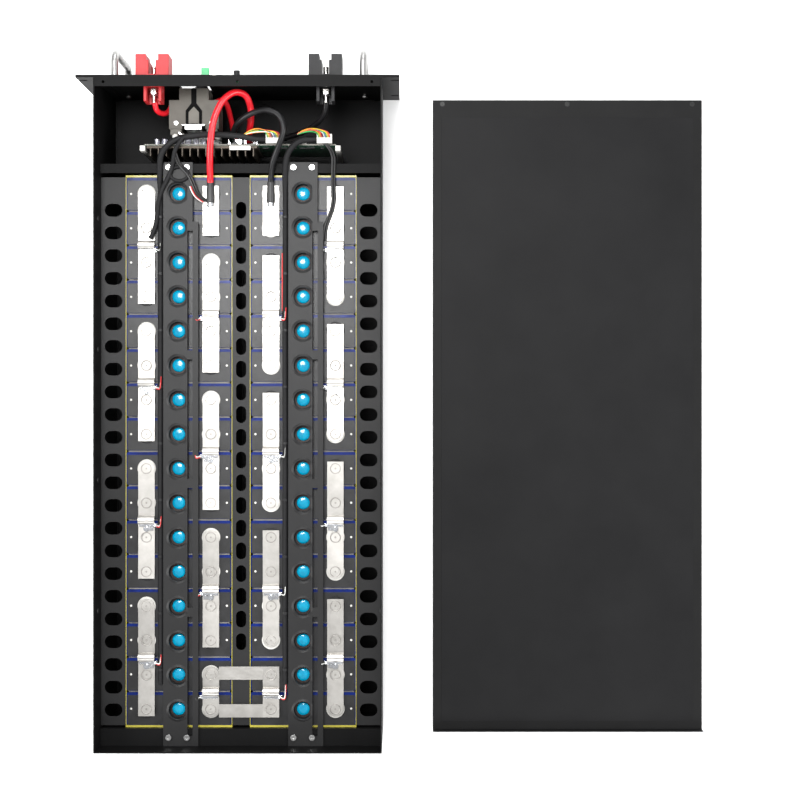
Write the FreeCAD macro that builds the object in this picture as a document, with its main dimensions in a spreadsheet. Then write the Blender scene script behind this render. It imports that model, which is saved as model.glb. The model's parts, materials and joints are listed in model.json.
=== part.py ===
import math
import os
import re

import FreeCAD
import Part
import Sketcher
from FreeCAD import Placement, Rotation, Vector

# A 19-inch rack battery module: a folded steel case that holds 32 prismatic cells in two columns.
# Origin: centre of the case's underside. +Z is up, the front panel faces -Y, +X is the positive side.
# The top cover lies upside down beside the case, on its -X side, as it does on a bench.

DIMENSIONS = [
    ("case_width", 430.0, "outer width of the case"),
    ("case_length", 1007.0, "front edge to rear wall"),
    ("case_height", 177.0, "four rack units, less the usual gap"),
    ("sheet", 2.0, "sheet thickness of the case and the frames"),
    ("side_gap", 0.2, "clearance of the frame parts to the case walls"),
    ("front_tab", 12.0, "case's folded front tabs"),
    ("front_edge", -507.0, "y of the case's front edge and the panel's rear face"),
    ("panel_width", 482.6, "19-inch panel"),
    ("panel_thick", 4.0, "front panel thickness"),
    ("flange_deep", 13.0, "panel's folded top flange"),
    ("flange_hole", 2.2, "radius of the cover screw holes"),
    ("flange_hole_x", 200.0, "cover screw holes either side of the middle"),
    ("slot_half", 3.5, "half the width of an ear slot"),
    ("slot_inner_x", 231.0, "centre of an ear slot's round end"),
    ("slot_run", 20.0, "from an ear slot's round end out past the ear"),
    ("slot_low", 37.7, "height of the lower ear slots"),
    ("slot_rise", 117.475, "from the lower to the upper ear slots"),
    ("frame_top", 133.0, "height of the flanges that carry the clamp bars"),
    ("bulkhead_front", -385.0, "y of the bulkhead"),
    ("bulkhead_flange", 14.0, "depth of the bulkhead's top flange"),
    ("shelf_front", 472.0, "y of the rear shelf"),
    ("shelf_flange", 26.0, "depth of the rear shelf's top flange"),
    ("cell_wide", 160.0, "cell, along X"),
    ("cell_thick", 50.0, "cell, along Y"),
    ("cell_tall", 118.0, "cell, along Z"),
    ("cell_corner", 3.0, "cell edge radius"),
    ("cell_pitch", 52.3, "cell to cell along a column"),
    ("cells_in_column", 16, "cells in one column"),
    ("column_x", 94.75, "middle of a cell column"),
    ("first_cell", -340.7, "y of the first cells"),
    ("liner", 1.5, "liner under the cells"),
    ("terminal_x", 49.0, "cell terminal from the column's middle"),
    ("terminal_radius", 9.0, "cell terminal"),
    ("terminal_tall", 3.0, "cell terminal height above the lid"),
    ("vent_radius", 10.0, "vent film"),
    ("vent_tall", 1.5, "vent film height"),
    ("spacer_wide", 154.0, "spacer sheet width"),
    ("spacer_tall", 112.0, "spacer sheet height"),
    ("spacer_lift", 3.0, "spacer sheet's lower edge above the cells' underside"),
    ("board", 3.0, "epoxy end board thickness"),
    ("side_board", 0.8, "epoxy side board thickness"),
    ("board_rise", 2.0, "how far the boards stand above the cells"),
    ("bracket_top", 123.0, "top of the side brackets and the rib"),
    ("hole_pitch", 34.6, "lightening holes along the brackets and the rib"),
    ("bracket_holes", 23, "holes in a side bracket"),
    ("bracket_hole_half", 9.75, "half the width of a bracket hole"),
    ("bracket_hole_run", 7.5, "between the round ends' centres"),
    ("rib_wide", 27.0, "centre rib width"),
    ("rib_holes", 20, "holes in the rib"),
    ("rib_hole_half", 7.75, "half the width of a rib hole"),
    ("rib_hole_run", 10.0, "between the round ends' centres"),
    ("first_hole", 50.0, "first lightening hole from the bracket's front"),
    ("bar_thick", 2.5, "clamp bar plate"),
    ("bar_front", -387.0, "y of a clamp bar's front end"),
    ("bar_left", 22.0, "plate edge on the +X side of the vents"),
    ("bar_wide_right", 22.5, "front stretch's edge on the -X side"),
    ("bar_right", 14.6, "plate edge on the -X side after the step"),
    ("strip_right", 31.0, "foot strip's outer edge on the -X side"),
    ("bar_step", 104.0, "length of the wide front stretch"),
    ("bar_bridge", 14.0, "bridge between plate and strip"),
    ("bar_window_pitch", 195.0, "long windows between plate and strip"),
    ("bar_windows", 4, "long windows in a bar"),
    ("vent_hole", 13.5, "radius of a vent hole in a bar"),
    ("bar_screw_x", 14.0, "bar screws either side of the middle"),
    ("bar_screw_in", 8.0, "bar screws from the front end"),
    ("screw_radius", 2.5, "screw shank"),
    ("screw_head", 4.5, "screw head radius"),
    ("screw_head_tall", 3.0, "screw head height"),
    ("screw_tail", 3.0, "screw past the sheet that it holds"),
    ("drive_radius", 1.8, "drive socket in a screw head"),
    ("drive_deep", 2.0, "depth of a drive socket"),
    ("busbar_wide", 25.0, "busbar width"),
    ("busbar_thick", 2.0, "busbar thickness"),
    ("busbar_long", 178.0, "four-cell busbar"),
    ("busbar_short", 76.0, "two-cell take-off busbar"),
    ("arch_radius", 7.0, "busbar's expansion arch, outside"),
    ("link_arm", 20.0, "width of the link busbar's arms"),
    ("lug_ring", 4.5, "sense lug ring radius"),
    ("lug_thick", 1.2, "sense lug thickness"),
    ("lug_off", 13.0, "sense lug from the arch"),
    ("sense_tab", 11.0, "sense lug's crimp tab"),
    ("sense_tab_wide", 5.0, "crimp tab width"),
    ("sense_screw", 2.8, "sense lug's screw head radius"),
    ("sense_screw_tall", 2.2, "sense lug's screw head height"),
    ("power_screw_off", 6.0, "power lug's screw behind its busbar's middle"),
    ("power_screw", 6.0, "power lug's screw head radius"),
    ("power_screw_tall", 5.0, "power lug's screw head height"),
    ("power_neck", 24.0, "power lug's neck"),
    ("power_neck_wide", 9.0, "power lug's neck width"),
    ("power_ring", 9.0, "power lug ring radius"),
    ("power_ring_thick", 3.0, "power lug ring thickness"),
    ("barrel_radius", 5.0, "power lug barrel radius"),
    ("barrel_front", -340.0, "y where the cables enter the busbar lugs"),
    ("barrel_long", 20.0, "power lug barrel length"),
    ("bay_lug_positive", -8.0, "x of the positive cable's lug in the bay"),
    ("bay_lug_negative", 17.0, "x of the negative cable's lug in the bay"),
    ("bay_lug_y", -427.0, "y of both lugs in the bay"),
    ("bay_lug_top", 62.0, "height at which the cables enter them"),
    ("bay_barrel", 12.0, "their barrel length"),
    ("bay_foot", 18.0, "their foot length"),
    ("bay_foot_low", 36.0, "height of the foot's lower end"),
    ("bay_foot_wide", 12.0, "their foot width"),
    ("bay_foot_thick", 4.0, "their foot thickness"),
    ("bay_foot_gap", 0.2, "clearance round a foot in its board terminal"),
    ("bay_block", 22.0, "board terminal, along X and Y"),
    ("bay_block_tall", 25.0, "board terminal height"),
    ("red_radius", 4.9, "positive cable"),
    ("black_radius", 4.5, "negative cable"),
    ("loom_radius", 3.0, "sense loom"),
    ("bms_wide", 290.0, "management board width"),
    ("bms_y", -414.0, "front face of the management board"),
    ("bms_thick", 2.0, "management board thickness"),
    ("bms_low", 25.0, "management board's lower edge"),
    ("bms_top", 138.0, "management board's upper edge"),
    ("standoff", 8.0, "square post behind the board's ends"),
    ("standoff_x", 148.0, "posts either side of the middle"),
    ("sink_low", 37.0, "heatsink's lower edge"),
    ("sink_tall", 99.0, "heatsink height"),
    ("fin_first", 5.0, "first fin from the heatsink's end"),
    ("sink_plate", 4.0, "heatsink plate"),
    ("sink_deep", 16.0, "heatsink with its fins"),
    ("sink_left", 142.0, "heatsink's +X edge"),
    ("sink_wide", 168.0, "heatsink width"),
    ("fin_thick", 2.0, "heatsink fin"),
    ("fin_pitch", 12.0, "fin to fin"),
    ("fins", 14, "heatsink fins"),
    ("breaker_x", 73.0, "middle of the breaker"),
    ("breaker_long", 76.0, "breaker along X"),
    ("breaker_nose", 45.0, "breaker's raised front along X"),
    ("breaker_low", 61.0, "breaker's lower face"),
    ("breaker_tall", 54.0, "two breaker poles"),
    ("breaker_front", -503.0, "y of the breaker's nose"),
    ("breaker_shoulder", -485.0, "y of the breaker's shoulders"),
    ("breaker_back", -441.0, "y of the breaker's back"),
    ("rail_wide", 35.0, "mounting rail"),
    ("rail_groove", 6.0, "groove for the rail in the breaker's back"),
    ("rail_gap", 0.5, "rail's clearance in that groove"),
    ("rail_thick", 1.5, "rail's brim"),
    ("rail_hat", 25.0, "rail's raised middle"),
    ("rail_rise", 7.5, "rail's depth"),
    ("rail_over", 8.0, "rail above the breaker"),
    ("rail_foot_wide", 60.0, "rail's foot along X"),
    ("rail_foot", 22.0, "rail's foot along Y"),
    ("breaker_screw", 3.5, "radius of the breaker's terminal screw holes"),
    ("breaker_screw_x", 31.0, "those holes from the breaker's middle"),
    ("breaker_screw_deep", 13.0, "depth of those holes"),
    ("toggle_y", -497.0, "breaker toggle's pivot"),
    ("toggle_radius", 8.0, "toggle drum"),
    ("toggle_tall", 44.0, "toggle along Z"),
    ("toggle_reach", 22.0, "toggle tip from its pivot"),
    ("toggle_wide", 9.0, "toggle lever thickness"),
    ("toggle_gap", 0.5, "clearance round the toggle"),
    ("toggle_tilt", 40.0, "toggle's lean from straight out, in degrees"),
    ("toggle_slot", 23.0, "width of the slot for the toggle"),
    ("post_x", 130.0, "terminal blocks either side of the middle"),
    ("post_z", 140.0, "middle height of the terminal blocks"),
    ("post_wide", 50.0, "terminal block width"),
    ("post_tall", 40.0, "terminal block height"),
    ("post_proud", 35.0, "terminal block in front of the panel"),
    ("post_base", 5.0, "terminal block's flange"),
    ("cheek_wide", 16.0, "terminal block's side walls"),
    ("post_rib", 3.5, "terminal block's inner ribs"),
    ("post_rib_x", 5.5, "inner ribs from the stud's middle"),
    ("post_rib_back", 9.0, "inner ribs behind the side walls' front"),
    ("skirt_wide", 27.0, "terminal block's inner part"),
    ("skirt_deep", 31.0, "terminal block's inner part behind the panel"),
    ("skirt_tall", 30.0, "height of the inner part"),
    ("pocket_wide", 18.0, "pocket for the nut in the inner part"),
    ("pocket_deep", 22.0, "pocket depth"),
    ("pocket_low", 11.0, "pocket's floor below the stud; its top is open"),
    ("stud_radius", 4.0, "M8 terminal stud"),
    ("stud_free", 14.0, "free length of a stud"),
    ("stud_neck", 1.0, "relief between a stud's thread and the block"),
    ("stud_core", 3.6, "stud inside the block"),
    ("nut_radius", 7.5, "nut, across its corners"),
    ("nut_tall", 6.5, "nut height"),
    ("nut_in", 19.0, "nut's front from the block's inner end"),
    ("washer_radius", 8.0, "washer"),
    ("washer_thick", 1.6, "washer thickness"),
    ("handle_x", 187.0, "handles either side of the middle"),
    ("handle_low", 33.5, "lower handle leg"),
    ("handle_span", 120.0, "leg to leg"),
    ("handle_rod", 5.5, "handle rod radius"),
    ("handle_reach", 38.5, "panel face to the middle of the grip"),
    ("handle_bend", 13.0, "handle bend radius"),
    ("handle_foot", 8.5, "handle foot radius"),
    ("handle_foot_thick", 2.0, "handle foot thickness"),
    ("comms_left", 57.0, "+X end of the row of sockets"),
    ("comms_z", 147.0, "middle height of the row of sockets"),
    ("comms_proud", 15.0, "sockets in front of the panel"),
    ("comms_board_y", -504.6, "front face of the communication board"),
    ("comms_board_wide", 74.0, "communication board along X"),
    ("comms_board_thick", 1.6, "communication board thickness"),
    ("comms_board_tall", 30.0, "communication board height"),
    ("comms_board_past", 9.0, "board past the +X end of the sockets"),
    ("jack_wide", 16.6, "network jack width"),
    ("jack_tall", 14.0, "network jack height"),
    ("port_wide", 12.0, "opening of a network jack"),
    ("port_deep", 12.0, "depth of that opening"),
    ("port_tall", 8.5, "height of that opening"),
    ("port_low", 3.0, "opening above the jack's underside"),
    ("latch_wide", 5.0, "notch for the plug's latch"),
    ("latch_tall", 3.0, "height of that notch"),
    ("green_wide", 12.0, "dry-contact connector width"),
    ("wire_hole", 1.4, "wire hole radius in the dry-contact connector"),
    ("wire_hole_deep", 8.0, "wire hole depth"),
    ("wire_hole_off", 3.0, "wire holes from the connector's middle"),
    ("button_x", 4.0, "power button"),
    ("button_radius", 4.5, "power button cap"),
    ("button_front", -523.0, "y of the button's face"),
    ("button_deep", 13.0, "length of the button's cap"),
    ("stem_radius", 2.0, "button's stem"),
    ("stem_long", 3.0, "length of the stem"),
    ("button_gap", 0.4, "clearance round the button"),
    ("cover_sheet", 1.5, "cover sheet thickness"),
    ("cover_wide", 431.0, "cover width"),
    ("cover_front", -506.7, "y of the cover's front edge"),
    ("cover_lip", 15.0, "cover's rear lip"),
    ("cover_gap", 0.3, "clearance under and behind the closed cover"),
    ("cover_axis_x", -255.0, "x of the line that the cover turns over"),
    ("cover_screw", 3.8, "cover screw head radius"),
    ("cover_drive", 1.6, "drive recess in a cover screw"),
    ("cover_drive_deep", 0.8, "depth of that recess"),
]

doc = FreeCAD.newDocument("BatteryModule")
dims = doc.addObject("Spreadsheet::Sheet", "Dims")
for row, (alias, value, meaning) in enumerate(DIMENSIONS, start=1):
    dims.set(f"A{row}", meaning)
    dims.set(f"B{row}", str(value))
    dims.setAlias(f"B{row}", alias)
doc.recompute()

NAMES = {alias for alias, _, _ in DIMENSIONS}
SQUARE = {
    "X": Rotation(Vector(0, 1, 0), 90),
    "Y": Rotation(Vector(1, 0, 0), -90),
    "Z": Rotation(),
}
nodes = []


# ---- helpers: every size is text, such as "case_width / 2", bound to the sheet ----

def bound(text):
    """Point each name in a size at its cell in the sheet."""
    return re.sub(r"[a-z_]+", lambda m: "Dims." + m.group() if m.group() in NAMES else m.group(), str(text))


def size(alias):
    """A plain number from the sheet."""
    return float(dims.get(alias))


def place(item, spot, turn=None):
    item.Placement = Placement(Vector(), turn or Rotation())
    for axis, text in zip("xyz", spot):
        item.setExpression(f"Placement.Base.{axis}", bound(text))
    return item


def box(lengths, corner):
    item = doc.addObject("Part::Box", "Box")
    for prop, text in zip(("Length", "Width", "Height"), lengths):
        item.setExpression(prop, bound(text))
    return place(item, corner)


def cylinder(radius, length, base, axis="Z"):
    item = doc.addObject("Part::Cylinder", "Cylinder")
    item.setExpression("Radius", bound(radius))
    item.setExpression("Height", bound(length))
    return place(item, base, SQUARE[axis])


def group(items):
    item = doc.addObject("Part::Compound", "Group")
    item.Links = items
    return item


def fuse(items):
    item = doc.addObject("Part::MultiFuse", "Fuse")
    item.Shapes = items
    item.Refine = True
    return item


def cut(base, tools):
    item = doc.addObject("Part::Cut", "Cut")
    item.Base = base
    item.Tool = tools[0] if len(tools) == 1 else group(tools)
    return item


def round_upright_edges(base, radius):
    doc.recompute()
    item = doc.addObject("Part::Fillet", "Fillet")
    item.Base = base
    upright = [
        number
        for number, edge in enumerate(base.Shape.Edges, start=1)
        if abs(edge.tangentAt(edge.FirstParameter).z) > 0.9
    ]
    item.Edges = [(number, radius, radius) for number in upright]
    return item


def node(label, item):
    """Name a finished sub-part."""
    item.Label = label
    nodes.append(item)
    return item


def new_body(spot, turn=None):
    return place(doc.addObject("PartDesign::Body", "Body"), spot, turn)


def origin_of(body, role):
    return next(item for item in body.Origin.OriginFeatures if item.Role == role)


def sketch(body, plane, lift="0"):
    drawing = body.newObject("Sketcher::SketchObject", "Sketch")
    drawing.AttachmentSupport = [(origin_of(body, plane + "_Plane"), "")]
    drawing.MapMode = "FlatFace"
    drawing.setExpression("AttachmentOffset.Base.z", bound(lift))
    return drawing


def tie(drawing, kind, where, text):
    """Add a dimension to a sketch and bind it to the sheet."""
    index = drawing.addConstraint(Sketcher.Constraint(kind, *where, 1.0))
    drawing.setExpression(f"Constraints[{index}]", bound(text))


def rectangle(drawing, corner, lengths):
    """A rectangle from its lowest corner."""
    ends = [Vector(0, 0, 0), Vector(1, 0, 0), Vector(1, 1, 0), Vector(0, 1, 0)]
    first = drawing.GeometryCount
    for k in range(4):
        drawing.addGeometry(Part.LineSegment(ends[k], ends[(k + 1) % 4]))
    for k in range(4):
        drawing.addConstraint(Sketcher.Constraint("Coincident", first + k, 2, first + (k + 1) % 4, 1))
        drawing.addConstraint(Sketcher.Constraint(("Horizontal", "Vertical")[k % 2], first + k))
    tie(drawing, "DistanceX", (first, 1, first, 2), lengths[0])
    tie(drawing, "DistanceY", (first + 1, 1, first + 1, 2), lengths[1])
    tie(drawing, "DistanceX", (-1, 1, first, 1), corner[0])
    tie(drawing, "DistanceY", (-1, 1, first, 1), corner[1])


def circle(drawing, centre, radius):
    first = drawing.GeometryCount
    drawing.addGeometry(Part.Circle(Vector(), Vector(0, 0, 1), 1.0))
    tie(drawing, "Radius", (first,), radius)
    tie(drawing, "DistanceX", (-1, 1, first, 3), centre[0])
    tie(drawing, "DistanceY", (-1, 1, first, 3), centre[1])


def stadium(drawing, start, run, radius, upright=False):
    """A slot: two half circles, the first centred on start, the second further on by run."""
    first = drawing.GeometryCount
    ahead = Vector(0, 10, 0) if upright else Vector(10, 0, 0)
    side = Vector(-3, 0, 0) if upright else Vector(0, 3, 0)
    lean = math.pi / 2 if upright else 0
    up = Vector(0, 0, 1)
    for middle, turn in ((Vector(), lean + math.pi / 2), (ahead, lean - math.pi / 2)):
        drawing.addGeometry(Part.ArcOfCircle(Part.Circle(middle, up, 3), turn, turn + math.pi))
    drawing.addGeometry(Part.LineSegment(side, ahead + side))
    drawing.addGeometry(Part.LineSegment(side * -1, ahead - side))
    for arc, arc_end, line, line_end in ((0, 1, 2, 1), (0, 2, 3, 1), (1, 2, 2, 2), (1, 1, 3, 2)):
        drawing.addConstraint(Sketcher.Constraint("Tangent", first + arc, arc_end, first + line, line_end))
    drawing.addConstraint(Sketcher.Constraint("Vertical" if upright else "Horizontal", first + 2))
    drawing.addConstraint(Sketcher.Constraint("Equal", first, first + 1))
    tie(drawing, "Radius", (first,), radius)
    tie(drawing, "DistanceY" if upright else "DistanceX", (first, 3, first + 1, 3), run)
    tie(drawing, "DistanceX", (-1, 1, first, 3), start[0])
    tie(drawing, "DistanceY", (-1, 1, first, 3), start[1])


def feature(body, kind, drawing, length, reverse=False):
    """A Pad or a Pocket. A sketch on XZ faces -Y, so its pads grow that way unless they are reversed."""
    item = body.newObject("PartDesign::" + kind, kind)
    item.Profile = drawing
    item.setExpression("Length", bound(length))
    item.Reversed = reverse
    body.Tip = item
    return item


def repeat(body, original, role, count, step):
    item = body.newObject("PartDesign::LinearPattern", "Pattern")
    item.Originals = [original]
    item.Direction = (origin_of(body, role), [""])
    item.setExpression("Occurrences", bound(count))
    item.setExpression("Length", bound(f"({count} - 1) * ({step})"))
    body.Tip = item
    return item


def rounded_tube(route, radius):
    """A tube along straight runs joined by tangent arcs, each as large as its two runs allow."""
    points = [Vector(*spot) for spot in route]
    edges, here = [], points[0]
    for before, corner, after in zip(points, points[1:], points[2:]):
        back, ahead = (before - corner), (after - corner)
        half_turn = (math.pi - back.getAngle(ahead)) / 2
        reach = 0.45 * min(back.Length, ahead.Length)
        back.normalize()
        ahead.normalize()
        bend = reach / math.tan(half_turn)
        enter, leave = corner + back * reach, corner + ahead * reach
        inward = (back + ahead).normalize()
        middle = corner + inward * (bend / math.cos(half_turn) - bend)
        edges.append(Part.LineSegment(here, enter).toShape())
        edges.append(Part.Arc(enter, middle, leave).toShape())
        print(f"  bend radius {bend:.0f} mm")
        here = leave
    edges.append(Part.LineSegment(here, points[-1]).toShape())
    path = Part.Wire(edges)
    ring = Part.Wire(Part.makeCircle(radius, points[0], points[1] - points[0]))
    tube = path.makePipeShell([ring], True, False)
    expected = math.pi * radius**2 * path.Length
    print(f"  tube {path.Length:.0f} mm long, volume {tube.Volume / expected:.4f} of section times length")
    return tube


def held_cables(label, routes, radius):
    """Leads that their lugs and clips hold all the way."""
    item = doc.addObject("Part::Feature", "Cable")
    tubes = [rounded_tube(route, radius) for route in routes]
    item.Shape = tubes[0] if len(tubes) == 1 else Part.makeCompound(tubes)
    node(label, item)


# ---- places that several sub-parts share ----

CELL_FLOOR = "(sheet + liner)"
CELL_TOP = "(sheet + liner + cell_tall)"
BUSBAR_LOW = "(sheet + liner + cell_tall + terminal_tall)"
BUSBAR_TOP = "(sheet + liner + cell_tall + terminal_tall + busbar_thick)"
PANEL_FACE = "(front_edge - panel_thick)"
CELLS_FRONT = "(first_cell - cell_thick / 2)"
CELLS_LONG = "((cells_in_column - 1) * cell_pitch + cell_thick)"
COLUMNS = {"left": 1, "right": -1}


def cell_y(index):
    """The middle of a cell, counted from the front, as text for the sheet."""
    return f"(first_cell + {index} * cell_pitch)"


# ---- case and frame ----

def case_tray():
    outer = box(("case_width", "case_length", "case_height"), ("-case_width / 2", "front_edge", "0"))
    inner = box(
        ("case_width - 2 * sheet", "case_length - sheet + 1", "case_height"),
        ("sheet - case_width / 2", "front_edge - 1", "sheet"),
    )
    tabs = [
        box(("front_tab", "sheet", "case_height - 12"), (x, "front_edge", "sheet"))
        for x in ("sheet - case_width / 2", "case_width / 2 - sheet - front_tab")
    ]
    node("case_tray", fuse([cut(outer, [inner])] + tabs))


def front_panel():
    body = new_body(("0", "front_edge", "0"))
    feature(body, "Pad", plate_outline(body), "panel_thick")
    openings = sketch(body, "XZ")
    for side in (1, -1):
        corner = (f"{side} * post_x - skirt_wide / 2 - 0.5", "post_z - skirt_tall / 2 - 0.5")
        rectangle(openings, corner, ("skirt_wide + 1", "skirt_tall + 1"))
        for height in ("handle_low", "handle_low + handle_span"):
            circle(openings, (f"{side} * handle_x", height), "screw_radius")
    nose_corner = ("breaker_x - breaker_nose / 2 - 0.5", "breaker_low - 0.5")
    rectangle(openings, nose_corner, ("breaker_nose + 1", "breaker_tall + 1"))
    row_corner = ("comms_left - 2 * jack_wide - green_wide - 1", "comms_z - jack_tall / 2 - 0.5")
    rectangle(openings, row_corner, ("2 * jack_wide + green_wide + 1.5", "jack_tall + 1"))
    circle(openings, ("button_x", "comms_z"), "button_radius + button_gap")
    feature(body, "Pocket", openings, "panel_thick", reverse=True)
    slots = sketch(body, "XZ")
    for height in ("slot_low", "slot_low + slot_rise"):
        stadium(slots, ("slot_inner_x", height), "slot_run", "slot_half")
        stadium(slots, ("-slot_inner_x - slot_run", height), "slot_run", "slot_half")
    feature(body, "Pocket", slots, "panel_thick", reverse=True)
    flange = sketch(body, "XY", "case_height - sheet")
    rectangle(flange, ("sheet - case_width / 2", "0"), ("case_width - 2 * sheet", "flange_deep"))
    feature(body, "Pad", flange, "sheet")
    holes = sketch(body, "XY", "case_height")
    for x in ("-flange_hole_x", "0", "flange_hole_x"):
        circle(holes, (x, "flange_deep / 2"), "flange_hole")
    feature(body, "Pocket", holes, "sheet")
    node("front_panel", body)


def plate_outline(body):
    outline = sketch(body, "XZ")
    rectangle(outline, ("-panel_width / 2", "0"), ("panel_width", "case_height"))
    return outline


def bulkhead():
    wide = "case_width - 2 * sheet - 2 * side_gap"
    corner = ("sheet + side_gap - case_width / 2", "bulkhead_front", "sheet")
    web = box((wide, "sheet", "frame_top - sheet"), corner)
    flange = box((wide, "bulkhead_flange", "sheet"), (corner[0], corner[1], "frame_top - sheet"))
    node("bulkhead", cut(fuse([web, flange]), bar_screw_holes("bar_front + bar_screw_in")))


def rear_shelf():
    wide = "case_width - 2 * sheet - 2 * side_gap"
    corner = ("sheet + side_gap - case_width / 2", "shelf_front", "sheet")
    web = box((wide, "sheet", "frame_top - sheet"), corner)
    flange = box((wide, "shelf_flange", "sheet"), (corner[0], corner[1], "frame_top - sheet"))
    node("rear_shelf", cut(fuse([web, flange]), bar_screw_holes("shelf_front + shelf_flange / 2")))


def bar_screw_spots(y):
    return [(f"{side} * column_x + {way} * bar_screw_x", y) for side in (1, -1) for way in (1, -1)]


def bar_screw_holes(y):
    return [
        cylinder("screw_radius", "sheet + 2", (x, y, "frame_top - sheet - 1"))
        for x, y in bar_screw_spots(y)
    ]


def perforated_channel(label, corner_x, wide, holes, half, run, upright):
    """An upside-down channel from the case floor, with a row of slots in its top."""
    body = new_body((corner_x, "first_cell - cell_thick / 2", "sheet"))
    tall = "(bracket_top - sheet)"
    outer = sketch(body, "XZ")
    rectangle(outer, ("0", "0"), (wide, tall))
    feature(body, "Pad", outer, CELLS_LONG, reverse=True)
    hollow = sketch(body, "XZ")
    rectangle(hollow, ("sheet", "-1"), (f"{wide} - 2 * sheet", f"{tall} - sheet + 1"))
    feature(body, "Pocket", hollow, CELLS_LONG)
    slot = sketch(body, "XY", tall)
    if upright:
        stadium(slot, (f"({wide}) / 2", f"first_hole - {run} / 2"), run, half, upright=True)
    else:
        stadium(slot, (f"({wide} - {run}) / 2", "first_hole"), run, half)
    opening = feature(body, "Pocket", slot, "sheet")
    repeat(body, opening, "Y_Axis", holes, "hole_pitch")
    node(label, body)


def brackets_and_rib():
    inner = "(column_x + cell_wide / 2 + side_board)"
    wide = f"(case_width / 2 - sheet - {inner})"
    slot = ("bracket_holes", "bracket_hole_half", "bracket_hole_run", False)
    perforated_channel("side_bracket_left", inner, wide, *slot)
    perforated_channel("side_bracket_right", f"-{inner} - {wide}", wide, *slot)
    rib_slot = ("rib_holes", "rib_hole_half", "rib_hole_run", True)
    perforated_channel("centre_rib", "-rib_wide / 2", "rib_wide", *rib_slot)


def clamp_bar(label, centre_x):
    """A plate over the vents with two legs on the cell lids and a foot strip along one side."""
    body = new_body((centre_x, "bar_front", "frame_top"))
    long = "(shelf_front + shelf_flange - bar_front)"
    plate = sketch(body, "XY")
    rectangle(plate, ("-strip_right", "0"), ("bar_left + strip_right", long))
    feature(body, "Pad", plate, "bar_thick")
    corner = sketch(body, "XY", "bar_thick")
    rectangle(corner, ("-strip_right", "-1"), ("strip_right - bar_wide_right", "bar_step - bar_bridge + 1"))
    feature(body, "Pocket", corner, "bar_thick")
    window = sketch(body, "XY", "bar_thick")
    window_size = ("bar_wide_right - bar_right", "bar_window_pitch - bar_bridge")
    rectangle(window, ("-bar_wide_right", "bar_step"), window_size)
    opening = feature(body, "Pocket", window, "bar_thick")
    repeat(body, opening, "Y_Axis", "bar_windows", "bar_window_pitch")
    screws = sketch(body, "XY", "bar_thick")
    for x in ("-bar_screw_x", "bar_screw_x"):
        for y in ("bar_screw_in", "shelf_front + shelf_flange / 2 - bar_front"):
            circle(screws, (x, y), "screw_radius")
    feature(body, "Pocket", screws, "bar_thick")
    vent = sketch(body, "XY", "bar_thick")
    circle(vent, ("0", "first_cell - bar_front"), "vent_hole")
    hole = feature(body, "Pocket", vent, "bar_thick")
    repeat(body, hole, "Y_Axis", "cells_in_column", "cell_pitch")
    legs = sketch(body, "XY")
    leg_corner = f"{CELLS_FRONT} - bar_front"
    for x in ("bar_left - sheet", "-bar_right"):
        rectangle(legs, (x, leg_corner), ("sheet", CELLS_LONG))
    feature(body, "Pad", legs, f"frame_top - {CELL_TOP}", reverse=True)
    node(label, body)


def clamp_bar_screws():
    screws = []
    for y in ("bar_front + bar_screw_in", "shelf_front + shelf_flange / 2"):
        for x, row_y in bar_screw_spots(y):
            top = "frame_top + bar_thick"
            drive_low = f"{top} + screw_head_tall - drive_deep"
            low = "frame_top - sheet - screw_tail"
            shank = cylinder("screw_radius", "sheet + bar_thick + screw_tail", (x, row_y, low))
            head = cylinder("screw_head", "screw_head_tall", (x, row_y, top))
            socket = cylinder("drive_radius", "drive_deep", (x, row_y, drive_low))
            screws.append(cut(fuse([shank, head]), [socket]))
    node("clamp_bar_screws", group(screws))


def panel_screws():
    screws = []
    for side in (1, -1):
        for height in ("handle_low", "handle_low + handle_span"):
            x = f"{side} * handle_x"
            shank = cylinder("screw_radius", "panel_thick", (x, PANEL_FACE, height), "Y")
            head = cylinder("screw_head", "screw_head_tall", (x, "front_edge", height), "Y")
            screws.append(fuse([shank, head]))
    node("panel_screws", group(screws))


# ---- cells and insulation ----

def one_cell(side, index):
    block = box(
        ("cell_wide", "cell_thick", "cell_tall"),
        (f"{side} * column_x - cell_wide / 2", f"{cell_y(index)} - cell_thick / 2", CELL_FLOOR),
    )
    return round_upright_edges(block, size("cell_corner"))


def cells():
    """Two cells that lie side by side in a column work in parallel: one pair."""
    pair = 0
    for side in COLUMNS.values():
        for first in range(0, int(size("cells_in_column")), 2):
            pair += 1
            node(f"cell_pair_{pair:02d}", group([one_cell(side, first), one_cell(side, first + 1)]))


def lid_parts():
    terminals, vents = [], []
    for side in COLUMNS.values():
        for index in range(int(size("cells_in_column"))):
            for way in (1, -1):
                spot = (f"{side} * column_x + {way} * terminal_x", cell_y(index), CELL_TOP)
                terminals.append(cylinder("terminal_radius", "terminal_tall", spot))
            middle = (f"{side} * column_x", cell_y(index), CELL_TOP)
            vents.append(cylinder("vent_radius", "vent_tall", middle))
    node("cell_terminals", group(terminals))
    node("vent_films", group(vents))


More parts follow.
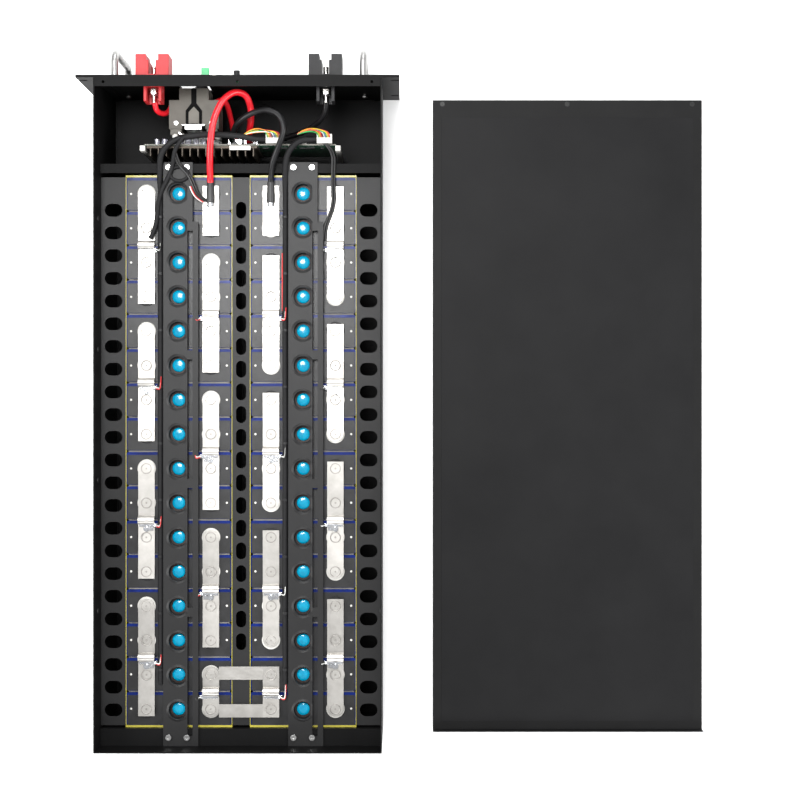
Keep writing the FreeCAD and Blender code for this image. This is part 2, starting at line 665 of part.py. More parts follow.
def insulation():
    inside_rib = "rib_wide / 2"
    inside_bracket = "(column_x + cell_wide / 2 + side_board)"
    floor = box(
        ("2 * (column_x + cell_wide / 2)", CELLS_LONG, "liner"),
        ("-column_x - cell_wide / 2", CELLS_FRONT, "sheet"),
    )
    rib_room = box(
        ("rib_wide", f"{CELLS_LONG} + 2", "sheet + liner + 1"),
        (f"-{inside_rib}", f"{CELLS_FRONT} - 1", "0"),
    )
    node("base_liner", cut(floor, [rib_room]))
    strips = []
    for side in COLUMNS.values():
        for index in range(int(size("cells_in_column")) - 1):
            corner = (
                f"{side} * column_x - spacer_wide / 2",
                f"{cell_y(index)} + cell_thick / 2",
                f"{CELL_FLOOR} + spacer_lift",
            )
            strips.append(box(("spacer_wide", "cell_pitch - cell_thick", "spacer_tall"), corner))
    node("cell_spacers", group(strips))
    tall = "cell_tall + board_rise"
    wide = f"({inside_bracket} - {inside_rib})"
    boards = [
        box((wide, "board", tall), (x, y, CELL_FLOOR))
        for y in (f"{CELLS_FRONT} - board", f"{CELLS_FRONT} + {CELLS_LONG}")
        for x in (inside_rib, f"-{inside_bracket}")
    ]
    for x in (
        f"{inside_bracket} - side_board",
        inside_rib,
        f"-{inside_rib} - side_board",
        f"-{inside_bracket}",
    ):
        boards.append(box(("side_board", CELLS_LONG, tall), (x, CELLS_FRONT, CELL_FLOOR)))
    node("insulation_boards", group(boards))


# ---- busbars and lugs ----

def busbar(x, middle, long):
    """A flat bar with an expansion arch across its middle."""
    plate = box(
        ("busbar_wide", long, "busbar_thick"),
        (f"{x} - busbar_wide / 2", f"{middle} - {long} / 2", BUSBAR_LOW),
    )
    arch = cylinder("arch_radius", "busbar_wide", (f"{x} - busbar_wide / 2", middle, BUSBAR_LOW), "X")
    under = cylinder(
        "arch_radius - busbar_thick",
        "busbar_wide + 2",
        (f"{x} - busbar_wide / 2 - 1", middle, BUSBAR_LOW),
        "X",
    )
    below = box(
        ("busbar_wide + 2", "3 * arch_radius", "2 * arch_radius"),
        (f"{x} - busbar_wide / 2 - 1", f"{middle} - 1.5 * arch_radius", f"{BUSBAR_LOW} - 2 * arch_radius"),
    )
    return cut(fuse([plate, arch]), [fuse([under, below])])


def busbars():
    outer, inner = [], []
    for side in COLUMNS.values():
        for four in range(4):
            x = f"{side} * (column_x + terminal_x)"
            outer.append(busbar(x, cell_y(4 * four + 1.5), "busbar_long"))
        for four in range(3):
            x = f"{side} * (column_x - terminal_x)"
            inner.append(busbar(x, cell_y(4 * four + 3.5), "busbar_long"))
    node("outer_busbars", group(outer))
    node("inner_busbars", group(inner))
    for label, side in (("positive_busbar", 1), ("negative_busbar", -1)):
        flat = box(
            ("busbar_wide", "busbar_short", "busbar_thick"),
            (
                f"{side} * (column_x - terminal_x) - busbar_wide / 2",
                f"{cell_y(0.5)} - busbar_short / 2",
                BUSBAR_LOW,
            ),
        )
        node(label, flat)
    link_busbar()


def link_busbar():
    """A flat frame that joins the last two inner terminals of both columns."""
    wide = "(2 * (column_x - terminal_x) + busbar_wide)"
    long = "(cell_pitch + busbar_wide)"
    body = new_body((f"-{wide} / 2", f"{cell_y(14.5)} - {long} / 2", BUSBAR_LOW))
    outline = sketch(body, "XY")
    rectangle(outline, ("0", "0"), (wide, long))
    feature(body, "Pad", outline, "busbar_thick")
    opening = sketch(body, "XY", "busbar_thick")
    inside = (f"{wide} - 2 * busbar_wide", f"{long} - 2 * link_arm")
    rectangle(opening, ("busbar_wide", "link_arm"), inside)
    feature(body, "Pocket", opening, "busbar_thick")
    node("link_busbar", round_upright_edges(body, size("busbar_thick")))


def sense_lug(x, y, way):
    """A ring under a small screw, with its crimp tab pointing sideways to the wires."""
    ring = cylinder("lug_ring", "lug_thick", (x, y, BUSBAR_TOP))
    tab_x = x if way > 0 else f"{x} - sense_tab"
    tab = box(("sense_tab", "sense_tab_wide", "lug_thick"), (tab_x, f"{y} - sense_tab_wide / 2", BUSBAR_TOP))
    head = cylinder("sense_screw", "sense_screw_tall", (x, y, f"{BUSBAR_TOP} + lug_thick"))
    return fuse([ring, tab, head])


def power_lug(side):
    x = f"{side} * (column_x - terminal_x)"
    y = f"({cell_y(0.5)} + power_screw_off)"
    ring = cylinder("power_ring", "power_ring_thick", (x, y, BUSBAR_TOP))
    head = cylinder("power_screw", "power_screw_tall", (x, y, f"{BUSBAR_TOP} + power_ring_thick"))
    neck = box(
        ("power_neck_wide", "power_neck", "power_ring_thick"),
        (f"{x} - power_neck_wide / 2", f"{y} - power_neck + 2", BUSBAR_TOP),
    )
    middle = f"{BUSBAR_TOP} + barrel_radius"
    barrel = cylinder("barrel_radius", "barrel_long", (x, "barrel_front", middle), "Y")
    return fuse([ring, head, neck, barrel])


def bay_lug(x):
    """A lug whose barrel stands upright on a board terminal."""
    barrel = cylinder("barrel_radius + 0.5", "bay_barrel", (x, "bay_lug_y", "bay_lug_top - bay_barrel"))
    foot = box(
        ("bay_foot_wide", "bay_foot_thick", "bay_foot"),
        (f"{x} - bay_foot_wide / 2", "bay_lug_y - bay_foot_thick / 2", "bay_foot_low"),
    )
    return fuse([barrel, foot])


def ring_lugs():
    lugs = []
    for side in COLUMNS.values():
        for four in range(4):
            x = f"{side} * (column_x + terminal_x)"
            lugs.append(sense_lug(x, f"{cell_y(4 * four + 1.5)} + lug_off", -1 * side))
        for four in range(3):
            x = f"{side} * (column_x - terminal_x)"
            lugs.append(sense_lug(x, f"{cell_y(4 * four + 3.5)} + lug_off", side))
        x = f"{side} * (column_x - terminal_x)"
        lugs.append(sense_lug(x, f"{cell_y(1)} + 6", side))
        lugs.append(sense_lug(x, f"{cell_y(14.5)}", side))
        lugs.append(power_lug(side))
    lugs += [bay_lug("bay_lug_positive"), bay_lug("bay_lug_negative")]
    node("ring_lugs", group(lugs))


# ---- electronics bay ----

# A board connector's low X, width, depth, height and lower edge.
BOARD_CONNECTORS = [
    ("-64.5", "25", "14", "18", "130"),
    ("-139.5", "23", "14", "18", "130"),
    ("-100", "10", "9", "8", "120"),
]


def management_board():
    board = box(("bms_wide", "bms_thick", "bms_top - bms_low"), ("-bms_wide / 2", "bms_y", "bms_low"))
    node("bms_board", board)
    terminals, cutters = [], []
    for x in ("bay_lug_positive", "bay_lug_negative"):
        terminals.append(box(
            ("bay_block", "bay_block", "bay_block_tall"),
            (f"{x} - bay_block / 2", "bms_y - bay_block", "bms_low"),
        ))
        cutters.append(box(
            ("bay_foot_wide + 2 * bay_foot_gap", "bay_foot_thick + 2 * bay_foot_gap", "bay_foot + 2"),
            (
                f"{x} - bay_foot_wide / 2 - bay_foot_gap",
                "bay_lug_y - bay_foot_thick / 2 - bay_foot_gap",
                "bay_foot_low - 1",
            ),
        ))
    node("bms_terminals", cut(group(terminals), cutters))
    housings = [
        box((wide, deep, tall), (x, f"bms_y - {deep}", low))
        for x, wide, deep, tall, low in BOARD_CONNECTORS
    ]
    node("bms_connectors", group(housings))
    posts = [
        box(
            ("standoff", "standoff", "bms_top - sheet"),
            (f"{side} * standoff_x - standoff / 2", "bms_y + bms_thick", "sheet"),
        )
        for side in (1, -1)
    ]
    node("bms_standoffs", group(posts))


def heatsink():
    body = new_body(("sink_left - sink_wide", "bms_y + bms_thick", "sink_low"))
    base = sketch(body, "XY")
    rectangle(base, ("0", "0"), ("sink_wide", "sink_plate"))
    feature(body, "Pad", base, "sink_tall")
    fin = sketch(body, "XY")
    rectangle(fin, ("fin_first", "sink_plate"), ("fin_thick", "sink_deep - sink_plate"))
    one = feature(body, "Pad", fin, "sink_tall")
    repeat(body, one, "X_Axis", "fins", "fin_pitch")
    node("bms_heatsink", body)


def breaker():
    """Two poles with a raised nose that reaches into the panel's window."""
    shoulders = box(
        ("breaker_long", "breaker_back - breaker_shoulder", "breaker_tall"),
        ("breaker_x - breaker_long / 2", "breaker_shoulder", "breaker_low"),
    )
    nose = box(
        ("breaker_nose", "breaker_shoulder - breaker_front", "breaker_tall"),
        ("breaker_x - breaker_nose / 2", "breaker_front", "breaker_low"),
    )
    groove = box(
        ("rail_wide + side_gap * 2", "rail_groove", "breaker_tall + 2"),
        ("breaker_x - rail_wide / 2 - side_gap", "breaker_back - rail_groove", "breaker_low - 1"),
    )
    pocket_low = "breaker_low + (breaker_tall - toggle_tall) / 2 - toggle_gap"
    pocket_tall = "toggle_tall + 2 * toggle_gap"
    drum_room = cylinder("toggle_radius + toggle_gap", pocket_tall, ("breaker_x", "toggle_y", pocket_low))
    lever_room = box(
        ("toggle_slot", "toggle_y - breaker_front - 1", pocket_tall),
        ("breaker_x - toggle_slot / 2", "breaker_front - 1", pocket_low),
    )
    holes = []
    for way in (1, -1):
        for pole in (0.25, 0.75):
            spot = (
                f"breaker_x + {way} * breaker_screw_x",
                "breaker_shoulder - 1",
                f"breaker_low + {pole} * breaker_tall",
            )
            holes.append(cylinder("breaker_screw", "breaker_screw_deep + 1", spot, "Y"))
    node("breaker_body", cut(fuse([shoulders, nose]), [groove, fuse([drum_room, lever_room])] + holes))


def breaker_toggle():
    """A drum with a lever across both poles; it leans to its ON side."""
    drum = cylinder("toggle_radius", "toggle_tall", ("0", "0", "0"))
    lever = box(("toggle_wide", "toggle_reach", "toggle_tall"), ("-toggle_wide / 2", "-toggle_reach", "0"))
    low = "breaker_low + (breaker_tall - toggle_tall) / 2"
    lean = Rotation(Vector(0, 0, 1), -size("toggle_tilt"))
    node("breaker_toggle", place(fuse([drum, lever]), ("breaker_x", "toggle_y", low), lean))


def breaker_rail():
    """A hat-shaped rail that stands on a foot on the case floor."""
    tall = "breaker_low + breaker_tall + rail_over - sheet"
    front = "breaker_back - rail_groove + rail_gap"
    brim = box(("rail_wide", "rail_thick", tall), ("breaker_x - rail_wide / 2", front, "sheet"))
    hat = box(("rail_hat", "rail_rise", tall), ("breaker_x - rail_hat / 2", front, "sheet"))
    foot = box(("rail_foot_wide", "rail_foot", "sheet"), ("breaker_x - rail_foot_wide / 2", front, "sheet"))
    node("breaker_rail", fuse([brim, hat, foot]))


# ---- front panel fittings ----

def terminal_block(label, side):
    x = f"{side} * post_x"
    low = "post_z - post_tall / 2"
    seat = f"{PANEL_FACE} - post_base"
    flange = box(("post_wide", "post_base", "post_tall"), (f"{x} - post_wide / 2", seat, low))
    cheek_size = ("cheek_wide", "post_proud - post_base", "post_tall")
    cheeks = [
        box(cheek_size, (f"{x} + {shift}", f"{PANEL_FACE} - post_proud", low))
        for shift in ("(-post_wide / 2)", "(post_wide / 2 - cheek_wide)")
    ]
    ribs = [
        box(
            ("post_rib", "post_proud - post_base - post_rib_back", "post_tall"),
            (f"{x} + {shift}", f"{PANEL_FACE} - post_proud + post_rib_back", low),
        )
        for shift in ("(-post_rib_x - post_rib)", "post_rib_x")
    ]
    skirt = box(
        ("skirt_wide", "skirt_deep + panel_thick", "skirt_tall"),
        (f"{x} - skirt_wide / 2", PANEL_FACE, "post_z - skirt_tall / 2"),
    )
    through = "post_base + panel_thick + skirt_deep + 2"
    bore = cylinder("stud_core", through, (x, f"{seat} - 1", "post_z"), "Y")
    pocket = box(
        ("pocket_wide", "pocket_deep + 1", "pocket_low + skirt_tall"),
        (f"{x} - pocket_wide / 2", "front_edge + skirt_deep - pocket_deep", "post_z - pocket_low"),
    )
    node(label, cut(fuse([flange, skirt] + cheeks + ribs), [fuse([bore, pocket])]))


def terminal_hardware():
    """Each stud's thread is free in front; a thinner core runs through the block to its nut."""
    pieces = []
    seat = f"({PANEL_FACE} - post_base)"
    nut_front = "front_edge + skirt_deep - nut_in"
    for side in (1, -1):
        x = f"{side} * post_x"
        thread = cylinder("stud_radius", "stud_free - stud_neck", (x, f"{seat} - stud_free", "post_z"), "Y")
        core_long = "stud_neck + post_base + panel_thick + skirt_deep"
        core = cylinder("stud_core", core_long, (x, f"{seat} - stud_neck", "post_z"), "Y")
        nut = doc.addObject("Part::Prism", "Nut")
        nut.Polygon = 6
        nut.setExpression("Circumradius", bound("nut_radius"))
        nut.setExpression("Height", bound("nut_tall"))
        place(nut, (x, nut_front, "post_z"), SQUARE["Y"])
        washer = cylinder("washer_radius", "washer_thick", (x, f"{nut_front} - washer_thick", "post_z"), "Y")
        pieces.append(fuse([thread, core, nut, washer]))
    node("terminal_hardware", group(pieces))


def handle(label, side):
    """A bow handle: two legs, two quarter bends and a grip."""
    x = f"{side} * handle_x"
    grip_y = f"({PANEL_FACE} - handle_reach)"
    pieces = []
    for height, inward in (("handle_low", 1), ("(handle_low + handle_span)", -1)):
        leg_start = (x, f"{grip_y} + handle_bend", height)
        leg = cylinder("handle_rod", "handle_reach - handle_bend", leg_start, "Y")
        foot_y = f"{PANEL_FACE} - handle_foot_thick"
        foot = cylinder("handle_foot", "handle_foot_thick", (x, foot_y, height), "Y")
        bend = doc.addObject("Part::Torus", "Bend")
        bend.setExpression("Radius1", bound("handle_bend"))
        bend.setExpression("Radius2", bound("handle_rod"))
        bend.Angle3 = 90
        centre = (x, f"{grip_y} + handle_bend", f"{height} + {inward} * handle_bend")
        if inward > 0:
            turn = Rotation(Vector(0, -1, 0), Vector(0, 0, -1), Vector(1, 0, 0), "XYZ")
        else:
            turn = Rotation(Vector(0, 0, 1), Vector(0, -1, 0), Vector(1, 0, 0), "XYZ")
        pieces += [leg, foot, place(bend, centre, turn)]
    grip = cylinder("handle_rod", "handle_span - 2 * handle_bend", (x, grip_y, "handle_low + handle_bend"))
    node(label, fuse(pieces + [grip]))


def sockets():
    board = box(
        ("comms_board_wide", "comms_board_thick", "comms_board_tall"),
        (
            "comms_left + comms_board_past - comms_board_wide",
            "comms_board_y",
            "comms_z - comms_board_tall / 2",
        ),
    )
    node("comms_board", board)
    deep = f"(comms_board_y - {PANEL_FACE} + comms_proud)"
    front = f"({PANEL_FACE} - comms_proud)"
    low = "(comms_z - jack_tall / 2)"
    jacks = []
    for order in (1, 2):
        x = f"(comms_left - green_wide - 0.5 - {order} * jack_wide)"
        shell = box(("jack_wide - 0.2", deep, "jack_tall"), (x, front, low))
        middle = f"{x} + jack_wide / 2 - 0.1"
        port = box(
            ("port_wide", "port_deep + 1", "port_tall"),
            (f"{middle} - port_wide / 2", f"{front} - 1", f"{low} + port_low"),
        )
        latch = box(
            ("latch_wide", "port_deep + 1", "latch_tall"),
            (f"{middle} - latch_wide / 2", f"{front} - 1", f"{low} + port_low - latch_tall + 1"),
        )
        jacks.append(cut(shell, [fuse([port, latch])]))
    node("network_jacks", group(jacks))
    plug = box(("green_wide - 0.4", deep, "jack_tall"), ("comms_left - green_wide", front, low))
    holes = [
        cylinder(
            "wire_hole",
            "wire_hole_deep + 1",
            (
                f"comms_left - green_wide / 2 - 0.2 + {across} * wire_hole_off",
                f"{front} - 1",
                f"comms_z + {rise} * wire_hole_off",
            ),
            "Y",
        )
        for across in (1, -1)
        for rise in (1, -1)
    ]
    node("dry_contact_connector", cut(plug, holes))


def power_button():
    cap = cylinder("button_radius", "button_deep", ("button_x", "button_front", "comms_z"), "Y")
    stem = cylinder("stem_radius", "stem_long", ("button_x", "button_front + button_deep", "comms_z"), "Y")
    node("power_button", fuse([cap, stem]))


# ---- cables ----
# Each route is the line that the lead takes from its first lug, over the bulkhead, into the bay.

def cables():
    red = [
        (45.75, -340, 131.5), (45.75, -358, 131.5), (45, -384, 146), (43, -416, 156), (37, -450, 161),
        (24, -477, 161), (6, -491, 155), (-10, -488, 141), (-16, -470, 128), (-14, -450, 115),
        (-10, -436, 101), (-8, -427, 82), (-8, -427, 62),
    ]
    black = [
        (-45.75, -340, 131.5), (-45.75, -358, 131.5), (-49, -384, 146), (-61, -410, 157), (-69, -434, 161),
        (-62, -455, 160), (-40, -464, 156), (-15, -458, 148), (6, -446, 134), (17, -427, 108), (17, -427, 62),
    ]
    print("positive cable")
    held_cables("positive_cable", [red], size("red_radius"))
    print("negative cable")
    held_cables("negative_cable", [black], size("black_radius"))
    left_loom = [
        (121.5, 405, 125), (121.5, -336, 125), (122, -358, 131), (121.5, -380, 141), (119, -400, 145.5),
        (103, -418, 145), (74, -426, 144.5), (35, -428, 144), (-3, -425, 143), (-24, -421, 142),
        (-39.5, -421, 142),
    ]
    right_loom = [
        (-68.5, 405, 125), (-68.5, -336, 125), (-68, -358, 131), (-68.5, -380, 141), (-72, -400, 145.5),
        (-86, -416, 145), (-102, -421, 142), (-116.5, -421, 142),
    ]
    print("sense harness")
    held_cables("sense_harness", [left_loom, right_loom], size("loom_radius"))


# ---- top cover, upside down beside the case ----

def top_cover():
    """Closed, it covers x either side of zero: turned over its line, its low x is this corner."""
    low_x = "(2 * cover_axis_x - cover_wide / 2)"
    long = "(front_edge + case_length + cover_gap + cover_sheet - cover_front)"
    body = new_body((low_x, "cover_front", "0"))
    outline = sketch(body, "XY")
    rectangle(outline, ("0", "0"), ("cover_wide", long))
    feature(body, "Pad", outline, "cover_sheet")
    holes = sketch(body, "XY", "cover_sheet")
    hole_y = "front_edge + flange_deep / 2 - cover_front"
    for x in ("cover_wide / 2 - flange_hole_x", "cover_wide / 2", "cover_wide / 2 + flange_hole_x"):
        circle(holes, (x, hole_y), "cover_screw")
    feature(body, "Pocket", holes, "cover_sheet")
    lip = sketch(body, "XY")
    rectangle(lip, ("0", f"{long} - cover_sheet"), ("cover_wide", "cover_sheet"))
    feature(body, "Pad", lip, "cover_sheet + cover_lip")
    node("top_cover", body)
    screws = []
    for x in ("-flange_hole_x", "0", "flange_hole_x"):
        spot = (f"2 * cover_axis_x + {x}", "front_edge + flange_deep / 2", "0")
        head = cylinder("cover_screw", "cover_sheet", spot)
        drive = cylinder("cover_drive", "cover_drive_deep", spot)
        screws.append(cut(head, [drive]))
    node("cover_screws", group(screws))


# ---- build, check and write ----

def write_nodes():
    doc.recompute()
    for item in doc.Objects:
        bad = {"Invalid", "Error"} & set(item.State)
        if bad:
            raise SystemExit(f"{item.Label} ({item.TypeId}) did not recompute: {item.State}")
    for item in nodes:
        shape = item.Shape
        if shape.isNull() or not shape.isValid() or not shape.Solids:
            raise SystemExit(f"{item.Label} has no valid solid")
    os.makedirs("parts", exist_ok=True)
    for old in os.listdir("parts"):
        os.remove(os.path.join("parts", old))
    for item in nodes:
        item.Shape.exportStep(f"parts/{item.Label}.step")
    print(f"{len(nodes)} nodes written")


case_tray()
front_panel()
bulkhead()
rear_shelf()
brackets_and_rib()
for side_name, side_sign in COLUMNS.items():
    clamp_bar(f"clamp_bar_{side_name}", f"{side_sign} * column_x")
clamp_bar_screws()
panel_screws()
cells()
lid_parts()
insulation()
busbars()
ring_lugs()
management_board()
heatsink()
breaker()
breaker_toggle()
breaker_rail()
terminal_block("positive_terminal_block", 1)
terminal_block("negative_terminal_block", -1)
terminal_hardware()
handle("handle_left", 1)
handle("handle_right", -1)
sockets()
power_button()
cables()
top_cover()
write_nodes()
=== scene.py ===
import json
import math
import random

import bmesh
import bpy
from mathutils import Matrix, Vector

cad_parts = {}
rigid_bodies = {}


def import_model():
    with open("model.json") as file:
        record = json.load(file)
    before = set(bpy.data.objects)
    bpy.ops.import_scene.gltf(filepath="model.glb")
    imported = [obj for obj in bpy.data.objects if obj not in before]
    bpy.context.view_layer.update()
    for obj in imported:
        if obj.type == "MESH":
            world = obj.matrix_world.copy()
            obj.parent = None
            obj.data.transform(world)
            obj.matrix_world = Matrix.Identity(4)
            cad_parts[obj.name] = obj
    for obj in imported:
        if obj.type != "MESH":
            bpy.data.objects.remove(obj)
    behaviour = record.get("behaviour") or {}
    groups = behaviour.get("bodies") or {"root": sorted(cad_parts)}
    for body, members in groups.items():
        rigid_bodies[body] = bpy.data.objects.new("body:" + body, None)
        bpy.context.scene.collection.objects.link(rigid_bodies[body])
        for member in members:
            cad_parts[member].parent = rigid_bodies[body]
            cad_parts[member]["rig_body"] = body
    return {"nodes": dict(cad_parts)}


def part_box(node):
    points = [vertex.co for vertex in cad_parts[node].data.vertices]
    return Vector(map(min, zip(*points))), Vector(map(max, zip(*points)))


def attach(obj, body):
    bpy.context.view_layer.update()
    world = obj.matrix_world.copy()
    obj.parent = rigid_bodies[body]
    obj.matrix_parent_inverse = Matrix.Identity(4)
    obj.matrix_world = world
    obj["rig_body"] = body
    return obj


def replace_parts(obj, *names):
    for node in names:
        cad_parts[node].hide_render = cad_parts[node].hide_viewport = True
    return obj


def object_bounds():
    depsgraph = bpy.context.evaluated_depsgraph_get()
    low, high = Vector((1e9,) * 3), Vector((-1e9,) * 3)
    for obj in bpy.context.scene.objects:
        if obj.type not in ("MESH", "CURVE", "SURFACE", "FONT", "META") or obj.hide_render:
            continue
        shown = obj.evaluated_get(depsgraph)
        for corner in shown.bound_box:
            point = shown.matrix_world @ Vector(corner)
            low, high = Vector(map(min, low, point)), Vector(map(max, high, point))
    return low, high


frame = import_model()
NODES = frame["nodes"]
CAD_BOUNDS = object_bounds()
MM = 0.001
UP = Vector((0, 0, 1))
chance = random.Random(7)


# ---- places worked out from the frame ----

PAIRS = [f"cell_pair_{n:02d}" for n in range(1, 17)]
WALL_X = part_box("case_tray")[1].x
BAR_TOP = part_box("clamp_bar_left")[1].z
BUS_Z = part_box("inner_busbars")[0].z
BUS_THICK = 2 * MM
BUS_TOP = BUS_Z + BUS_THICK
BUS_HALF = 12.5 * MM
BUS_LONG = 178 * MM
LINK_ARM = 20 * MM
ARCH_RADIUS = 5 * MM
VENT_RADIUS = 10 * MM
POLE_RADIUS = 9 * MM
LID_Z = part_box("vent_films")[0].z
COLUMN_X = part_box("vent_films")[1].x - VENT_RADIUS
TERMINAL_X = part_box("cell_terminals")[1].x - POLE_RADIUS - COLUMN_X
CELL_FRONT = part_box(PAIRS[0])[0].y
CELL_THICK = 50 * MM
CELL_PITCH = 52.3 * MM
CELLS = 16
BAR_EDGE = 14.6 * MM
LOOMS_X = (121.5 * MM, -68 * MM)
LOOM_Z = 126.3 * MM
SIDES = (1, -1)


def cell_y(index):
    """The middle of a cell along its column; a half step is the gap's middle."""
    return CELL_FRONT + CELL_THICK / 2 + index * CELL_PITCH


# ---- materials ----

def new_material(name, colour, rough, metallic=0.0, specular=0.5, coat=0.0):
    material = bpy.data.materials.new(name)
    material.use_nodes = True
    shader = material.node_tree.nodes["Principled BSDF"]
    shader.inputs["Base Color"].default_value = (*colour, 1)
    shader.inputs["Roughness"].default_value = rough
    shader.inputs["Metallic"].default_value = metallic
    shader.inputs["Specular IOR Level"].default_value = specular
    shader.inputs["Coat Weight"].default_value = coat
    return material, material.node_tree, shader


def add(tree, kind, values=None, **settings):
    node = tree.nodes.new(kind)
    for key, value in settings.items():
        setattr(node, key, value)
    for key, value in (values or {}).items():
        node.inputs[key].default_value = value
    return node


def place_coords(tree, stretch=(1, 1, 1)):
    coords = add(tree, "ShaderNodeTexCoord")
    mapping = add(tree, "ShaderNodeMapping", {"Scale": stretch})
    tree.links.new(coords.outputs["Object"], mapping.inputs["Vector"])
    return mapping.outputs["Vector"]


def noise(tree, vector, scale, detail=3.0, rough=0.5):
    node = add(tree, "ShaderNodeTexNoise", {"Scale": scale, "Detail": detail, "Roughness": rough})
    tree.links.new(vector, node.inputs["Vector"])
    return node.outputs["Fac"]


def ramp(tree, value, low, high, out_low=0.0, out_high=1.0):
    limits = {"From Min": low, "From Max": high, "To Min": out_low, "To Max": out_high}
    node = add(tree, "ShaderNodeMapRange", limits)
    tree.links.new(value, node.inputs["Value"])
    return node.outputs["Result"]


def mix_colours(tree, factor, first, second):
    node = add(tree, "ShaderNodeMix", data_type="RGBA")
    tree.links.new(factor, node.inputs["Factor"])
    for socket, source in ((node.inputs[6], first), (node.inputs[7], second)):
        if isinstance(source, tuple):
            socket.default_value = (*source, 1)
        else:
            tree.links.new(source, socket)
    return node.outputs[2]


def bump(tree, shader, height, strength, distance):
    node = add(tree, "ShaderNodeBump", {"Strength": strength, "Distance": distance})
    tree.links.new(height, node.inputs["Height"])
    tree.links.new(node.outputs["Normal"], shader.inputs["Normal"])


def surface(name, colour, other, rough, spread=0.08, metallic=0.0, patch=30.0, grain=1500.0,
            strength=0.15, depth=0.0002, stretch=(1, 1, 1), specular=0.5, coat=0.0, spots=None):
    """Two colours in soft patches, roughness that varies, and a fine grain in the relief."""
    material, tree, shader = new_material(name, colour, rough, metallic, specular, coat)
    plain = place_coords(tree)
    grained = place_coords(tree, stretch)
    patches = ramp(tree, noise(tree, plain, patch, 4.0, 0.6), 0.3, 0.7)
    tint = mix_colours(tree, patches, colour, other)
    if spots:
        dots = ramp(tree, noise(tree, plain, spots[1], 2.0), 0.66, 0.72)
        tint = mix_colours(tree, dots, tint, spots[0])
    tree.links.new(tint, shader.inputs["Base Color"])
    fine = noise(tree, grained, grain, 3.0, 0.6)
    tree.links.new(ramp(tree, fine, 0.25, 0.75, rough - spread, rough + spread), shader.inputs["Roughness"])
    bump(tree, shader, fine, strength, depth)
    return material


def paint(name, level, rough, specular=0.4):
    """Powder coat: orange peel, dust in the tint, a few brighter grains."""
    dark = (level, level, level * 1.03)
    light = (level * 1.5, level * 1.5, level * 1.55)
    return surface(name, dark, light, rough, 0.07, patch=9, grain=1400, strength=0.25, depth=0.00025,
                   specular=specular, spots=((level * 2.4, level * 2.4, level * 2.4), 2600))


def rolled_metal(name, colour, other, rough, stretch, strength=0.12):
    """Drawn metal: streaks along one way, faint stains across them."""
    return surface(name, colour, other, rough, 0.09, metallic=1.0, patch=55, grain=260, strength=strength,
                   depth=0.00015, stretch=stretch)


def woven(name, colour, other, threads, rough):
    """Glass-epoxy sheet: a fine square weave under resin."""
    material, tree, shader = new_material(name, colour, rough, coat=0.2)
    vector = place_coords(tree)
    waves = []
    for way in ("X", "Y", "Z"):
        wave = add(tree, "ShaderNodeTexWave", {"Scale": threads, "Distortion": 0.6}, bands_direction=way)
        tree.links.new(vector, wave.inputs["Vector"])
        waves.append(wave.outputs["Fac"])
    total = add(tree, "ShaderNodeMath", operation="ADD")
    both = add(tree, "ShaderNodeMath", operation="ADD")
    tree.links.new(waves[0], total.inputs[0])
    tree.links.new(waves[1], total.inputs[1])
    tree.links.new(total.outputs[0], both.inputs[0])
    tree.links.new(waves[2], both.inputs[1])
    weave = ramp(tree, both.outputs[0], 0.6, 2.4)
    tree.links.new(mix_colours(tree, weave, colour, other), shader.inputs["Base Color"])
    bump(tree, shader, weave, 0.3, 0.0002)
    return material


def circuit(name):
    """Solder mask over copper tracks, with tinned pads."""
    material, tree, shader = new_material(name, (0.012, 0.05, 0.03), 0.35, coat=0.3)
    vector = place_coords(tree)
    rows = {"Scale": 60.0, "Mortar Size": 0.012, "Brick Width": 0.7, "Row Height": 0.3}
    bricks = add(tree, "ShaderNodeTexBrick", rows)
    bricks.offset = 0.37
    turned = add(tree, "ShaderNodeMapping", {"Rotation": (math.pi / 2, 0, 0)})
    tree.links.new(vector, turned.inputs["Vector"])
    tree.links.new(turned.outputs["Vector"], bricks.inputs["Vector"])
    pads = add(tree, "ShaderNodeTexVoronoi", {"Scale": 210.0})
    tree.links.new(vector, pads.inputs["Vector"])
    dots = ramp(tree, pads.outputs["Distance"], 0.2, 0.14)
    cloud = ramp(tree, noise(tree, vector, 40, 3), 0.35, 0.65)
    mask = mix_colours(tree, cloud, (0.008, 0.04, 0.022), (0.015, 0.075, 0.04))
    tracks = mix_colours(tree, bricks.outputs["Fac"], mask, (0.03, 0.13, 0.07))
    tree.links.new(mix_colours(tree, dots, tracks, (0.5, 0.5, 0.46)), shader.inputs["Base Color"])
    bump(tree, shader, bricks.outputs["Fac"], 0.3, 0.0002)
    return material


def ribbed(name, colour, other, rough, turns, axis):
    """Sleeve or rubber with fine rings across its length."""
    material, tree, shader = new_material(name, colour, rough, specular=0.2)
    vector = place_coords(tree)
    rings = {"Scale": turns, "Distortion": 1.5, "Detail": 1.0}
    wave = add(tree, "ShaderNodeTexWave", rings, bands_direction=axis)
    tree.links.new(vector, wave.inputs["Vector"])
    tree.links.new(mix_colours(tree, wave.outputs["Fac"], colour, other), shader.inputs["Base Color"])
    bump(tree, shader, wave.outputs["Fac"], 0.4, 0.0003)
    return material


